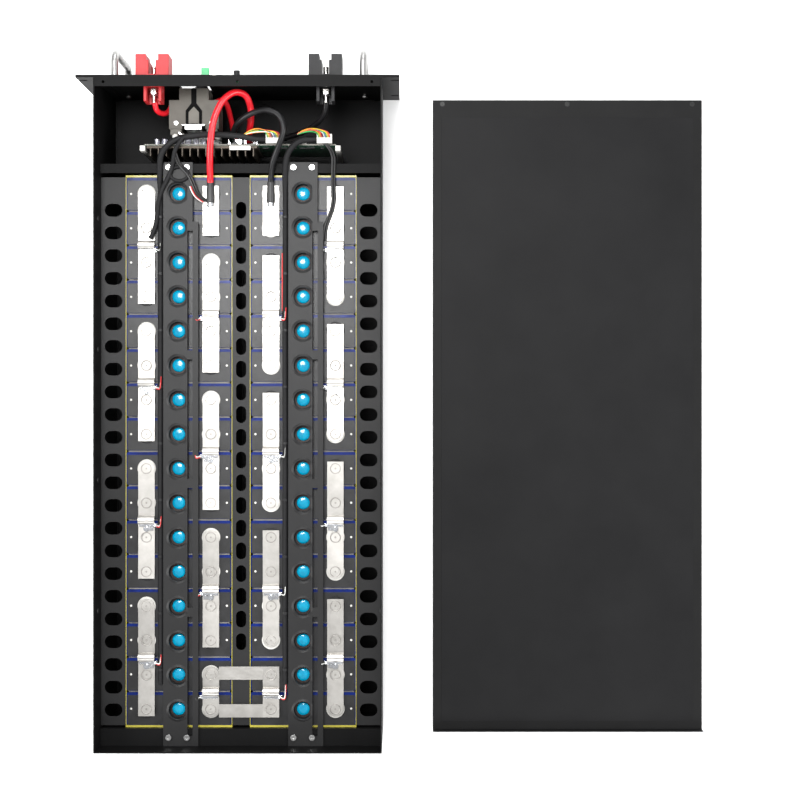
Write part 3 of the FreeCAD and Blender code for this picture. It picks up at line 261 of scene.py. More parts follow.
# The case's black paint is a darker, duller copy of the frame's black paint: its extra darkness is painted
# shade for the bay inside the case.
BLACK = paint("black_paint", 0.0035, 0.5, specular=0.09)
FRAME_PAINT = paint("frame_paint", 0.0085, 0.44, specular=0.27)
COVER_PAINT = paint("cover_paint", 0.0055, 0.5, specular=0.15)
LID = surface("lid_sheet", (0.009, 0.009, 0.0095), (0.018, 0.018, 0.019), 0.38, 0.1, patch=60, grain=500,
              strength=0.25, depth=0.0004, specular=0.4)
FILM = surface("cell_film", (0.0015, 0.008, 0.075), (0.003, 0.016, 0.14), 0.34, 0.06, patch=80, grain=300,
               strength=0.2, depth=0.0003, specular=0.15, coat=0.05)
SPACER = surface("spacer_edge", (0.34, 0.32, 0.26), (0.2, 0.19, 0.16), 0.8, grain=1800, strength=0.5)
FOAM = surface("liner_foam", (0.03, 0.03, 0.03), (0.05, 0.05, 0.05), 0.9, grain=1500, strength=0.7,
               depth=0.0004)
BUSBAR = rolled_metal("busbar_metal", (0.53, 0.515, 0.49), (0.43, 0.415, 0.39), 0.4, (6, 0.5, 6))
CROSS_METAL = rolled_metal("link_metal", (0.53, 0.515, 0.49), (0.43, 0.415, 0.39), 0.4, (0.5, 6, 6))
WELD = rolled_metal("weld_bead", (0.38, 0.365, 0.34), (0.26, 0.25, 0.235), 0.5, (3, 3, 3), 0.6)
TIN = rolled_metal("tinned", (0.72, 0.74, 0.77), (0.5, 0.51, 0.53), 0.22, (2, 2, 2), 0.2)
ZINC = rolled_metal("zinc_steel", (0.52, 0.52, 0.51), (0.38, 0.38, 0.38), 0.32, (2, 2, 2), 0.2)
NICKEL = rolled_metal("nickel", (0.72, 0.7, 0.66), (0.6, 0.58, 0.55), 0.25, (2, 2, 4))
SINK = rolled_metal("heatsink_metal", (0.1, 0.085, 0.07), (0.06, 0.052, 0.045), 0.55, (3, 3, 0.4))
HANDLE = rolled_metal("handle_metal", (0.46, 0.46, 0.45), (0.36, 0.36, 0.355), 0.36, (4, 4, 0.5))
TERMINAL = rolled_metal("terminal_metal", (0.82, 0.82, 0.8), (0.7, 0.7, 0.68), 0.28, (2, 2, 2))
VENT = surface("vent_film", (0.0, 0.33, 0.58), (0.0, 0.46, 0.72), 0.16, 0.05, patch=130, grain=220,
               strength=0.3, depth=0.0008, coat=0.6, specular=0.35)
RIM = surface("vent_rim", (0.035, 0.018, 0.014), (0.02, 0.012, 0.01), 0.5, grain=900, strength=0.2)
WHITE = surface("white_nylon", (0.6, 0.59, 0.56), (0.5, 0.49, 0.46), 0.45, patch=70, grain=900, strength=0.1)
BLACK_PLASTIC = surface("black_plastic", (0.009, 0.009, 0.01), (0.018, 0.018, 0.019), 0.46, patch=50,
                        grain=1100, strength=0.12, specular=0.25)
SCREW_BLACK = surface("black_screw", (0.02, 0.02, 0.02), (0.04, 0.04, 0.04), 0.35, metallic=0.6, grain=900,
                      strength=0.2)
RED_PLASTIC = surface("red_plastic", (0.4, 0.011, 0.014), (0.48, 0.02, 0.024), 0.5, patch=50, grain=1100,
                      strength=0.12)
GREEN_PLASTIC = surface("green_plastic", (0.015, 0.32, 0.1), (0.02, 0.42, 0.14), 0.35, patch=60, grain=900,
                        strength=0.12)
# The breaker's beige is darkened far below its own tone: painted shade for the breaker, which sits in the
# bay's shade.
BREAKER_WITH_PAINTED_SHADE = surface("breaker_case_with_painted_shade", (0.115, 0.105, 0.09), (0.085, 0.078, 0.066), 0.6, patch=40, grain=900,
                  strength=0.25)
# The shroud beige is darkened in the same way: painted shade for the bay. The breaker's island and shrouds
# and the board's edge use it.
BEIGE_WITH_PAINTED_SHADE = surface("terminal_shroud_with_painted_shade", (0.16, 0.148, 0.128), (0.12, 0.112, 0.096), 0.6, patch=40, grain=900,
                strength=0.2)
RED_CABLE = surface("red_silicone", (0.6, 0.006, 0.012), (0.72, 0.014, 0.026), 0.34, patch=60, grain=700,
                    strength=0.15)
BLACK_CABLE = surface("black_silicone", (0.005, 0.005, 0.0055), (0.012, 0.012, 0.013), 0.34, patch=60,
                      grain=700, strength=0.2, specular=0.25)
SLEEVE = ribbed("wire_sleeve", (0.003, 0.003, 0.0035), (0.014, 0.014, 0.015), 0.6, 180.0, "Y")
SHRINK = surface("heat_shrink", (0.015, 0.015, 0.016), (0.03, 0.03, 0.03), 0.45, grain=500, strength=0.4,
                 depth=0.0004)
EPOXY = woven("epoxy_board", (0.48, 0.42, 0.045), (0.32, 0.28, 0.035), 190.0, 0.4)
CIRCUIT = circuit("circuit_board")
CHIP = surface("chip_resin", (0.02, 0.02, 0.021), (0.04, 0.04, 0.04), 0.55, grain=1800, strength=0.3)
# Near black and matte: painted shade for the breaker's Y-shaped groove. The same material draws the dark seam
# between its poles.
GROOVE_SHADE_AND_SEAM = surface("breaker_groove_shade_and_seam", (0.003, 0.003, 0.003), (0.005, 0.005, 0.005), 0.8, grain=900,
                  strength=0.2, specular=0.08)
CAPACITOR = rolled_metal("capacitor_can", (0.5, 0.5, 0.55), (0.35, 0.35, 0.4), 0.3, (3, 3, 1))
COVER_FILM = surface("cover_film", (0.006, 0.006, 0.0065), (0.009, 0.009, 0.0095), 0.5, 0.05, patch=7,
                     grain=900, strength=0.12, depth=0.0002, specular=0.14)
WIRES = {
    name: surface(f"wire_{name}", colour, tuple(c * 0.75 for c in colour), 0.4, patch=200, grain=900,
                  strength=0.1)
    for name, colour in {
        "red": (0.6, 0.02, 0.02), "black": (0.006, 0.006, 0.006), "white": (0.75, 0.75, 0.72),
        "yellow": (0.72, 0.55, 0.03), "green": (0.03, 0.35, 0.08), "blue": (0.03, 0.1, 0.5),
        "orange": (0.75, 0.25, 0.02),
    }.items()
}

NODE_FINISH = {
    "case_tray": BLACK, "front_panel": BLACK, "bulkhead": BLACK, "rear_shelf": BLACK,
    "side_bracket_left": FRAME_PAINT, "side_bracket_right": FRAME_PAINT, "centre_rib": FRAME_PAINT,
    "clamp_bar_left": FRAME_PAINT, "clamp_bar_right": FRAME_PAINT, "top_cover": COVER_PAINT,
    "clamp_bar_screws": ZINC, "panel_screws": ZINC, "cover_screws": SCREW_BLACK,
    "insulation_boards": EPOXY, "base_liner": FOAM, "cell_spacers": SPACER, "cell_terminals": TERMINAL,
    "vent_films": VENT, "outer_busbars": BUSBAR, "inner_busbars": BUSBAR, "positive_busbar": BUSBAR,
    "negative_busbar": BUSBAR, "link_busbar": CROSS_METAL, "ring_lugs": TIN, "bms_board": CIRCUIT,
    "bms_heatsink": SINK, "bms_terminals": TIN, "bms_connectors": WHITE, "bms_standoffs": WHITE,
    # The breaker body takes the beige darkened with painted shade.
    "breaker_body": BREAKER_WITH_PAINTED_SHADE, "breaker_toggle": BLACK_PLASTIC, "breaker_rail": ZINC,
    "positive_terminal_block": RED_PLASTIC, "negative_terminal_block": BLACK_PLASTIC,
    "terminal_hardware": NICKEL, "handle_left": HANDLE, "handle_right": HANDLE,
    "comms_board": CIRCUIT, "network_jacks": NICKEL,
    "dry_contact_connector": GREEN_PLASTIC, "power_button": BLACK_PLASTIC, "positive_cable": RED_CABLE,
    "negative_cable": BLACK_CABLE, "sense_harness": SLEEVE,
}
for name, node in NODES.items():
    node.data.materials.clear()
    node.data.materials.append(FILM if name in PAIRS else NODE_FINISH[name])


# ---- mesh helpers ----

def piece(name, mesh_builder, material, body="case", sharp=30):
    """Turn a bmesh into an object that rides a body."""
    mesh = bpy.data.meshes.new(name)
    bmesh.ops.recalc_face_normals(mesh_builder, faces=mesh_builder.faces)
    mesh_builder.to_mesh(mesh)
    mesh_builder.free()
    mesh.materials.append(material)
    mesh.shade_smooth()
    mesh.set_sharp_from_angle(angle=math.radians(sharp))
    thing = bpy.data.objects.new(name, mesh)
    bpy.context.scene.collection.objects.link(thing)
    even = thing.modifiers.new("even_normals", "WEIGHTED_NORMAL")
    even.keep_sharp = True
    even.weight = 90
    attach(thing, body)
    return thing


def sharp_edges(builder, angle=30):
    return [e for e in builder.edges if len(e.link_faces) == 2 and e.calc_face_angle(0) > math.radians(angle)]


def round_edges(builder, width, segments=2):
    bmesh.ops.bevel(builder, geom=sharp_edges(builder), offset=width, segments=segments, profile=0.5,
                    affect="EDGES", clamp_overlap=True)


def add_box(builder, low, high):
    """A closed box between two corners."""
    size = Vector(high) - Vector(low)
    middle = (Vector(high) + Vector(low)) / 2
    bmesh.ops.create_cube(builder, size=1, matrix=Matrix.Translation(middle) @ Matrix.Diagonal((*size, 1)))


def turned(builder, base, profile, axis=UP, steps=32):
    """Revolve (radius, height) points about an axis through base. A radius of 0 closes the end."""
    spin = UP.rotation_difference(Vector(axis)).to_matrix()
    rings = []
    for radius, height in profile:
        count = steps if radius > 0 else 1
        ring = []
        for k in range(count):
            angle = 2 * math.pi * k / steps
            spot = Vector((radius * math.cos(angle), radius * math.sin(angle), height))
            ring.append(builder.verts.new(Vector(base) + spin @ spot))
        rings.append(ring)
    for low, high in zip(rings, rings[1:]):
        for k in range(steps):
            after = (k + 1) % steps
            corners = [low[k % len(low)], low[after % len(low)], high[after % len(high)], high[k % len(high)]]
            unique = list(dict.fromkeys(corners))
            if len(unique) > 2:
                builder.faces.new(unique)
    for ring in (rings[0], rings[-1]):
        if len(ring) > 1:
            builder.faces.new(ring)


def join_rings(builder, rings, closed=False):
    """Faces from ring to ring. closed joins the last ring to the first; otherwise both ends get a face."""
    after = rings[1:] + rings[:1] if closed else rings[1:]
    for here, there in zip(rings, after):
        for n in range(len(here)):
            m = (n + 1) % len(here)
            builder.faces.new([here[n], here[m], there[m], there[n]])
    if not closed:
        for ring in (rings[0], rings[-1]):
            builder.faces.new(ring)


def swept(builder, base, section, steps, spin=Matrix.Identity(3), reach=None):
    """Carry a closed section of (radius, height) points round base. reach changes how far out it goes."""
    rings = []
    for k in range(steps):
        angle = 2 * math.pi * k / steps
        way = Vector((math.cos(angle), math.sin(angle), 0))
        if reach:
            way = reach(way, angle)
        rings.append([builder.verts.new(Vector(base) + spin @ (way * r + UP * h)) for r, h in section])
    join_rings(builder, rings, closed=True)


def ring_of(builder, base, inner, outer, height, edge=0.0004, axis=UP, steps=32):
    """A flat ring with softened rims: its profile runs round the section and closes on itself."""
    section = [(inner, 0), (outer, 0), (outer, height - edge), (outer - edge, height),
               (inner + edge, height), (inner, height - edge)]
    swept(builder, base, section, steps, UP.rotation_difference(Vector(axis)).to_matrix())


def in_mm(points):
    """Points given in millimetres, as vectors or pairs in metres."""
    return [Vector(spot) * MM for spot in points]


def softened(name, width):
    """A copy of a CAD node with its sharp edges rounded, which stands for the node."""
    source = NODES[name]
    builder = bmesh.new()
    builder.from_mesh(source.data)
    bmesh.ops.remove_doubles(builder, verts=builder.verts, dist=2e-6)
    bmesh.ops.dissolve_limit(builder, angle_limit=math.radians(0.5), verts=builder.verts, edges=builder.edges)
    round_edges(builder, width)
    thing = piece(name + "_finished", builder, source.data.materials[0], source["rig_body"])
    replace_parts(thing, name)


def wire(name, routes, radius, material, body="case"):
    """Thin leads, each a smooth curve of round section along its route."""
    curve = bpy.data.curves.new(name, "CURVE")
    curve.dimensions = "3D"
    curve.bevel_depth = radius
    curve.bevel_resolution = 3
    curve.resolution_u = 6
    curve.use_fill_caps = True
    for route in routes:
        spline = curve.splines.new("NURBS")
        spline.points.add(len(route) - 1)
        for spot, target in zip(route, spline.points):
            target.co = (*spot, 1)
        spline.order_u = 3
        spline.use_endpoint_u = True
    curve.materials.append(material)
    thing = bpy.data.objects.new(name, curve)
    bpy.context.scene.collection.objects.link(thing)
    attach(thing, body)
    return thing


# ---- cells ----

def positive_outside(side, index):
    """Pairs turn end for end down a column, so the series path runs back and forth."""
    pair = index // 2
    return (pair % 2 == 0) == (side > 0)


def lid_sheets():
    """A black insulating sheet on each cell lid; the blue film shows along its front edge."""
    builder = bmesh.new()
    half, front, back, thick = 78.5 * MM, 20.6 * MM, 24.6 * MM, 0.45 * MM
    for side in SIDES:
        for index in range(CELLS):
            x, y = side * COLUMN_X, cell_y(index)
            add_box(builder, (x - half, y - front, LID_Z), (x + half, y + back, LID_Z + thick))
    round_edges(builder, 0.2 * MM)
    piece("lid_sheets", builder, LID)


def lid_details():
    """Round gaskets under the terminals, filler plugs and a rim round each vent."""
    gaskets = {True: bmesh.new(), False: bmesh.new()}
    plugs, rims = bmesh.new(), bmesh.new()
    plug_off = 73 * MM
    plug = [(0, 0), (1.7 * MM, 0), (1.7 * MM, 0.6 * MM), (1.3 * MM, 0.9 * MM), (0, 1 * MM)]
    for side in SIDES:
        for index in range(CELLS):
            y = cell_y(index)
            for way in SIDES:
                outside = way == side
                white = positive_outside(side, index) == outside
                x = side * COLUMN_X + way * TERMINAL_X
                ring_of(gaskets[white], (x, y, LID_Z), 9.1 * MM, 14 * MM, 2.7 * MM, 0.7 * MM)
                turned(plugs, (side * COLUMN_X + way * plug_off, y, LID_Z), plug, steps=18)
            ring_of(rims, (side * COLUMN_X, y, LID_Z), 10.1 * MM, 13.2 * MM, 1.4 * MM)
    piece("white_gaskets", gaskets[True], WHITE)
    piece("black_gaskets", gaskets[False], BLACK_PLASTIC)
    piece("filler_plugs", plugs, WHITE)
    piece("vent_rims", rims, RIM)


def vents():
    """Glossy blue films, domed over the burst discs."""
    builder = bmesh.new()
    edge, rise, slices = 0.4 * MM, 2.6 * MM, 8
    dome = [(0, 0), (VENT_RADIUS, 0), (VENT_RADIUS, edge)]
    for k in range(1, slices):
        turn = k / slices * math.pi / 2
        dome.append((VENT_RADIUS * math.cos(turn), edge + rise * math.sin(turn) ** 0.8))
    dome.append((0, edge + rise))
    for side in SIDES:
        for index in range(CELLS):
            turned(builder, (side * COLUMN_X, cell_y(index), LID_Z), dome, steps=40)
    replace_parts(piece("vent_domes", builder, VENT, sharp=60), "vent_films")


# ---- busbars ----

def strip(builder, x, stations):
    """A flat bar along Y: each station is (y, z of the underside, half width, thickness direction)."""
    rows = []
    for y, z, half, lean in stations:
        normal = Vector((0, math.sin(lean), math.cos(lean))) * BUS_THICK
        low = [Vector((x - half, y, z)), Vector((x + half, y, z))]
        rows.append([builder.verts.new(p) for p in (low[0], low[1], low[1] + normal, low[0] + normal)])
    join_rings(builder, rows)


def bar_stations(front, rear, arch_y=None, round_front=False, round_rear=False):
    """Half widths follow a quarter circle at a rounded end; the arch is a half circle."""
    steps = (0, 0.04, 0.12, 0.25, 0.42, 0.65, 1)
    narrowest = 2.2 * MM
    arch_slices = 12

    def half_width(y):
        for end, rounded in ((y - front, round_front), (rear - y, round_rear)):
            if rounded and end < BUS_HALF:
                return max(narrowest, math.sqrt(max(0, BUS_HALF**2 - (BUS_HALF - end) ** 2)))
        return BUS_HALF

    spots = [front + t * BUS_HALF for t in steps] if round_front else [front]
    stations = [(y, BUS_Z, half_width(y), 0) for y in spots]
    if arch_y is not None:
        for k in range(arch_slices + 1):
            turn = math.pi * k / arch_slices
            y, z = arch_y - ARCH_RADIUS * math.cos(turn), BUS_Z + ARCH_RADIUS * math.sin(turn)
            stations.append((y, z, BUS_HALF, turn - math.pi / 2))
    spots = [rear - t * BUS_HALF for t in reversed(steps)] if round_rear else [rear]
    return stations + [(y, BUS_Z, half_width(y), 0) for y in spots]


def four_cell_bar(builder, x, middle, white_front):
    """A bar over four cells, arched at its middle and rounded at the end over a white gasket."""
    reach = BUS_LONG / 2
    strip(builder, x, bar_stations(middle - reach, middle + reach, middle, white_front, not white_front))


def busbars():
    outer, inner = bmesh.new(), bmesh.new()
    for side in SIDES:
        for first in range(0, CELLS, 4):
            x = side * (COLUMN_X + TERMINAL_X)
            four_cell_bar(outer, x, cell_y(first + 1.5), positive_outside(side, first))
        for first in range(2, CELLS - 2, 4):
            x = side * (COLUMN_X - TERMINAL_X)
            four_cell_bar(inner, x, cell_y(first + 1.5), not positive_outside(side, first))
    for builder, node in ((outer, "outer_busbars"), (inner, "inner_busbars")):
        round_edges(builder, 0.35 * MM)
        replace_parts(piece(node + "_arched", builder, BUSBAR, sharp=50), node)
    softened("positive_busbar", 0.35 * MM)
    softened("negative_busbar", 0.35 * MM)
    link_frame()


def link_frame():
    """Two arms across the columns and two arched sides; its +X corners are rounded over the gaskets."""
    low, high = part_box("link_busbar")
    builder = bmesh.new()
    middle = (low.y + high.y) / 2
    for side in SIDES:
        x = side * (high.x - BUS_HALF)
        strip(builder, x, bar_stations(low.y, high.y, middle, side > 0, side > 0))
    reach = high.x - 2 * BUS_HALF
    for y in (low.y, high.y - LINK_ARM):
        add_box(builder, (-reach, y, BUS_Z), (reach, y + LINK_ARM, BUS_TOP))
    round_edges(builder, 0.35 * MM)
    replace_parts(piece("link_frame", builder, CROSS_METAL, sharp=50), "link_busbar")


def sense_tabs():
    """Tinned tabs that lie beside each arch and carry the sense leads out over the busbar's edge."""
    builder = bmesh.new()
    plate, crimp, axis_lift = 0.5 * MM, 1.1 * MM, 2.8 * MM
    barrel = in_mm([(0, 0), (2, 0), (2.1, 1), (1.7, 3), (2.1, 5), (0, 6)])
    for x, y, way in sense_places():
        add_box(builder, (x - 11 * MM, y - 9 * MM, BUS_TOP), (x + 11 * MM, y - 3.2 * MM, BUS_TOP + plate))
        inner, outer = sorted((x + way * 6 * MM, x + way * 17 * MM))
        add_box(builder, (inner, y - 8 * MM, BUS_TOP + plate), (outer, y - 2.6 * MM, BUS_TOP + crimp))
        base = (x + way * 12 * MM, y - 5.4 * MM, BUS_TOP + axis_lift)
        turned(builder, base, barrel, axis=(way, 0, 0), steps=16)
    round_edges(builder, 0.2 * MM)
    piece("sense_tabs", builder, TIN)


def sense_places():
    """Where each busbar is sensed: its x, the lug's y and the side that its leads leave on."""
    places = []
    behind_arch = 13 * MM
    for side in SIDES:
        outer, inner = side * (COLUMN_X + TERMINAL_X), side * (COLUMN_X - TERMINAL_X)
        places += [(outer, cell_y(4 * four + 1.5) + behind_arch, -side) for four in range(4)]
        places += [(inner, cell_y(4 * four + 3.5) + behind_arch, side) for four in range(3)]
        places += [(inner, cell_y(14.5) + behind_arch, side)]
    return places


def weld_beads():
    """A laser-welded ring over each terminal, with a small centring hole."""
    builder = bmesh.new()
    bead = in_mm([(6.7, -0.02), (7.0, 0.22), (7.5, 0.3), (8.0, 0.22), (8.3, -0.02)])
    button = in_mm([(0, 0), (1.5, 0), (1.4, 0.2), (0, 0.22)])
    for side in SIDES:
        for index in range(CELLS):
            for way in SIDES:
                if index == 0 and way != side:
                    continue
                x, y = side * COLUMN_X + way * TERMINAL_X, cell_y(index)
                swept(builder, (x, y, BUS_TOP), bead, 36,
                      reach=lambda out, angle: out * (1 + 0.012 * math.sin(5 * angle + index)))
                turned(builder, (x, y, BUS_TOP - 0.02 * MM), button, steps=14)
    piece("weld_beads", builder, WELD)


# ---- case ----

def case_parts():
    """CAD nodes with their sharp edges rounded, each by its own width in millimetres."""
    for name, width in (
        ("case_tray", 0.5), ("front_panel", 0.6), ("bulkhead", 0.5), ("rear_shelf", 0.5),
        ("side_bracket_left", 0.5), ("side_bracket_right", 0.5), ("centre_rib", 0.5),
        ("clamp_bar_left", 0.5), ("clamp_bar_right", 0.5), ("top_cover", 0.4),
        ("clamp_bar_screws", 0.4), ("panel_screws", 0.4), ("cover_screws", 0.15),
        ("positive_terminal_block", 1.2), ("negative_terminal_block", 1.2), ("terminal_hardware", 0.4),
        ("breaker_body", 0.8), ("breaker_toggle", 0.8), ("network_jacks", 0.4),
        ("dry_contact_connector", 0.4), ("power_button", 0.6), ("bms_connectors", 0.6),
        ("bms_standoffs", 0.5), ("bms_heatsink", 0.35), ("ring_lugs", 0.2), ("bms_terminals", 0.5),
        ("comms_board", 0.2),
    ):
        softened(name, width * MM)


def vent_collars():
    """The pressed collar round each vent hole of the clamp bars, cut off straight at the bar's edge."""
    builder = bmesh.new()
    rim = 17.2
    section = in_mm([(13.4, -0.6), (13.4, 0.9), (14.0, 1.35), (14.9, 1.1), (rim, 0.04), (rim, -0.6)])
    furthest = -BAR_EDGE / (rim * MM)
    for side in SIDES:
        for index in range(CELLS):
            base = (side * COLUMN_X, cell_y(index), BAR_TOP)
            swept(builder, base, section, 48, reach=lambda way, _: Vector((max(way.x, furthest), way.y, 0)))
    piece("vent_collars", builder, FRAME_PAINT, sharp=40)


def wall_rivets():
    """Flush rivets along the side walls, where the brackets are held, inside and out."""
    builder = bmesh.new()
    first, apart, height, wall = -300 * MM, 197 * MM, 150 * MM, 2 * MM
    inside = in_mm([(0, 0), (4, 0), (3.6, 0.8), (1.4, 1.2), (0, 1.2)])
    outside = in_mm([(0, 0), (4, 0), (3.8, 0.3), (0, 0.35)])
    for side in SIDES:
        for step in range(4):
            y = first + apart * step
            turned(builder, (side * (WALL_X - wall), y, height), inside, axis=(-side, 0, 0), steps=20)
            turned(builder, (side * WALL_X, y, height), outside, axis=(side, 0, 0), steps=20)
    piece("wall_rivets", builder, SCREW_BLACK)


def cover_film():
    """An insulating film on the cover's inner face."""
    low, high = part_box("top_cover")
    builder = bmesh.new()
    inset, sheet, film = 14 * MM, 1.5 * MM, 0.3 * MM
    add_box(
        builder,
        (low.x + inset, low.y + 2 * inset, low.z + sheet),
        (high.x - inset, high.y - inset, low.z + sheet + film),
    )
    round_edges(builder, 0.1 * MM, 1)
    piece("cover_film", builder, COVER_FILM, "top_cover")


# ---- wiring ----

def heat_shrink():
    """Black sleeves over the ends of both power cables."""
    builder = bmesh.new()
    rear, lift = cell_y(0) + 14.7 * MM, 5 * MM
    sleeve = in_mm([(5.2, 0), (6.1, 0.6), (6.1, 14), (5.9, 15), (5.5, 30), (5.1, 31)])
    for side in SIDES:
        x = side * (COLUMN_X - TERMINAL_X)
        turned(builder, (x, rear, BUS_TOP + lift), sleeve, axis=(0, -1, 0), steps=24)
    piece("heat_shrink", builder, SHRINK)


def sense_wires():
    """Three thin leads from each tab, over the busbar's edge and down into the loom."""
    z = BUS_TOP + 2.8 * MM
    routes = {"black": [], "red": [], "white": []}
    for x, y, way in sense_places():
        for number, colour in enumerate(("black", "white", chance.choice(("red", "black")))):
            lift = (3 + 4 * chance.random()) * MM
            aside = (number - 1) * 1.5 * MM
            back = y - (14 + 6 * number + 6 * chance.random()) * MM
            edge = x + way * (21.5 + 0.8 * number) * MM
            start = Vector((x + way * 15 * MM, y - 5.4 * MM + aside * 0.5, z))
            routes[colour].append([
                start,
                start + Vector((way * 2.5 * MM, aside, lift)),
                Vector((edge - way * 1 * MM, y - 4 * MM + aside, z + lift)),
                Vector((edge, (y + back) / 2, z + lift * 0.6)),
                Vector((edge, back, z - 2 * MM)),
            ])
    for colour, points in routes.items():
        wire(f"sense_leads_{colour}", points, 0.8 * MM, WIRES[colour])


def loom_sleeves():
    """Both looms as ribbed sleeves."""
    radius = 4.6 * MM
    left = [(121.5, 405, 126.2), (121.5, 200, 126.4), (122.2, 60, 126.4), (121.6, -100, 126.2),
            (122, -250, 126.4), (121.5, -336, 126.4), (122, -358, 132), (121.5, -380, 141),
            (119, -400, 145.5), (103, -418, 145), (74, -426, 144.5), (35, -428, 144), (-3, -425, 143),
            (-24, -421, 142), (-39.5, -421, 142)]
    right = [(-68, 405, 126.2), (-67.6, 220, 126.4), (-68.2, 40, 126.4), (-67.4, -120, 126.2),
             (-68, -250, 126.4), (-68.5, -336, 126.4), (-68, -358, 132), (-68.5, -380, 141),
             (-72, -400, 145.5), (-86, -416, 145), (-102, -421, 142), (-116.5, -421, 142)]
    routes = [in_mm(left), in_mm(right)]
    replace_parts(wire("loom_sleeves", routes, radius, SLEEVE), "sense_harness")


def spare_loops():
    """Slack in the sense leads: a bundle and a knot over the left bar, two leads on the right."""
    bundle = [(84, -423, 148), (95, -410, 149), (99, -396, 147), (102, -380, 141.5), (109, -362, 140.5),
              (118, -346, 138.5), (125, -327, 133), (127, -303, 130.5), (130.5, -286, 130), (137, -272, 130)]
    knot = [(98, -401, 148), (95, -388, 142.5), (87, -377, 140), (76, -366, 139.5), (70, -352, 139),
            (66, -341, 137.5), (59, -333, 135), (52, -329, 133)]
    right = [(-120, -421, 144), (-133, -412, 146), (-142, -396, 142), (-141, -375, 137), (-140.5, -352, 132),
             (-142, -325, 129.5), (-134, -303, 129), (-128, -288, 129), (-127.2, -270, 128.5)]
    rounds = [2 * math.pi * k / 12 for k in range(14)]
    loop = [(92 + 14 * math.cos(t), -369 + 11 * math.sin(t), 139.6 + 1.2 * math.sin(2 * t)) for t in rounds]
    wire("spare_bundle", [in_mm(bundle)], 3.4 * MM, SLEEVE)
    wire("spare_loop", [in_mm(loop)], 2.5 * MM, SLEEVE)
    dark = []
    for shift in (-1.7, 1.7):
        dark += [in_mm((x + shift, y, z + 0.4 * shift) for x, y, z in route) for route in (knot, right)]
    wire("spare_leads", dark, 1.8 * MM, WIRES["black"])
    for colour, shift in (("red", 4.4), ("white", 6.2)):
        thin = in_mm((x + shift, y + 2, z + 0.6) for x, y, z in knot[4:])
        wire(f"spare_lead_{colour}", [thin], 0.9 * MM, WIRES[colour])
    side = in_mm((-63.2, -250 + 22 * k, 127.5 + 1.2 * math.sin(k)) for k in range(5))
    wire("spare_lead_right", [side], 0.9 * MM, WIRES["red"])


def loom_ties():
    """Cable ties round both looms."""
    builder = bmesh.new()
    first, apart = -306 * MM, 86 * MM
    head_low, head_high = LOOM_Z + 4.6 * MM, LOOM_Z + 6.9 * MM
    for x in LOOMS_X:
        for step in range(9):
            y = first + apart * step
            ring_of(builder, (x, y, LOOM_Z), 4.4 * MM, 5.1 * MM, 2.6 * MM, 0.3 * MM, axis=(0, 1, 0), steps=20)
            add_box(builder, (x - 1.8 * MM, y - 0.4 * MM, head_low), (x + 1.8 * MM, y + 3 * MM, head_high))
    piece("loom_ties", builder, BLACK_PLASTIC)


def board_wires():
    """Coloured leads that fan out of the two board connectors."""
    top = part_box("bms_connectors")[1].z
    plug_y = -422.5 * MM
    leads, margin, run = 11, 3, 13
    colours = ("red", "orange", "yellow", "green", "blue", "white", "black")
    routes = {name: [] for name in colours}
    for left, right, loom_x in ((-64.5, -39.5, -20), (-139.5, -116.5, -100)):
        for k in range(leads):
            x = (left + margin + (right - left - 2 * margin) * k / (leads - 1)) * MM
            height = (7 + 7 * chance.random()) * MM
            aside = (chance.random() - 0.5) * 8 * MM
            routes[colours[k % len(colours)]].append([
                Vector((x, plug_y, top - 2 * MM)),
                Vector((x, plug_y - 1 * MM, top + height * 0.6)),
                Vector((x + 3 * MM, plug_y - 7.5 * MM + aside * 0.3, top + height)),
                Vector((loom_x * MM, plug_y - 11.5 * MM + aside, top + 1 * MM)),
                Vector(((loom_x + run) * MM, plug_y - 5 * MM + aside * 0.2, top - 4 * MM)),
            ])
    for name, points in routes.items():
        wire(f"board_leads_{name}", points, 0.7 * MM, WIRES[name])


# ---- electronics bay ----

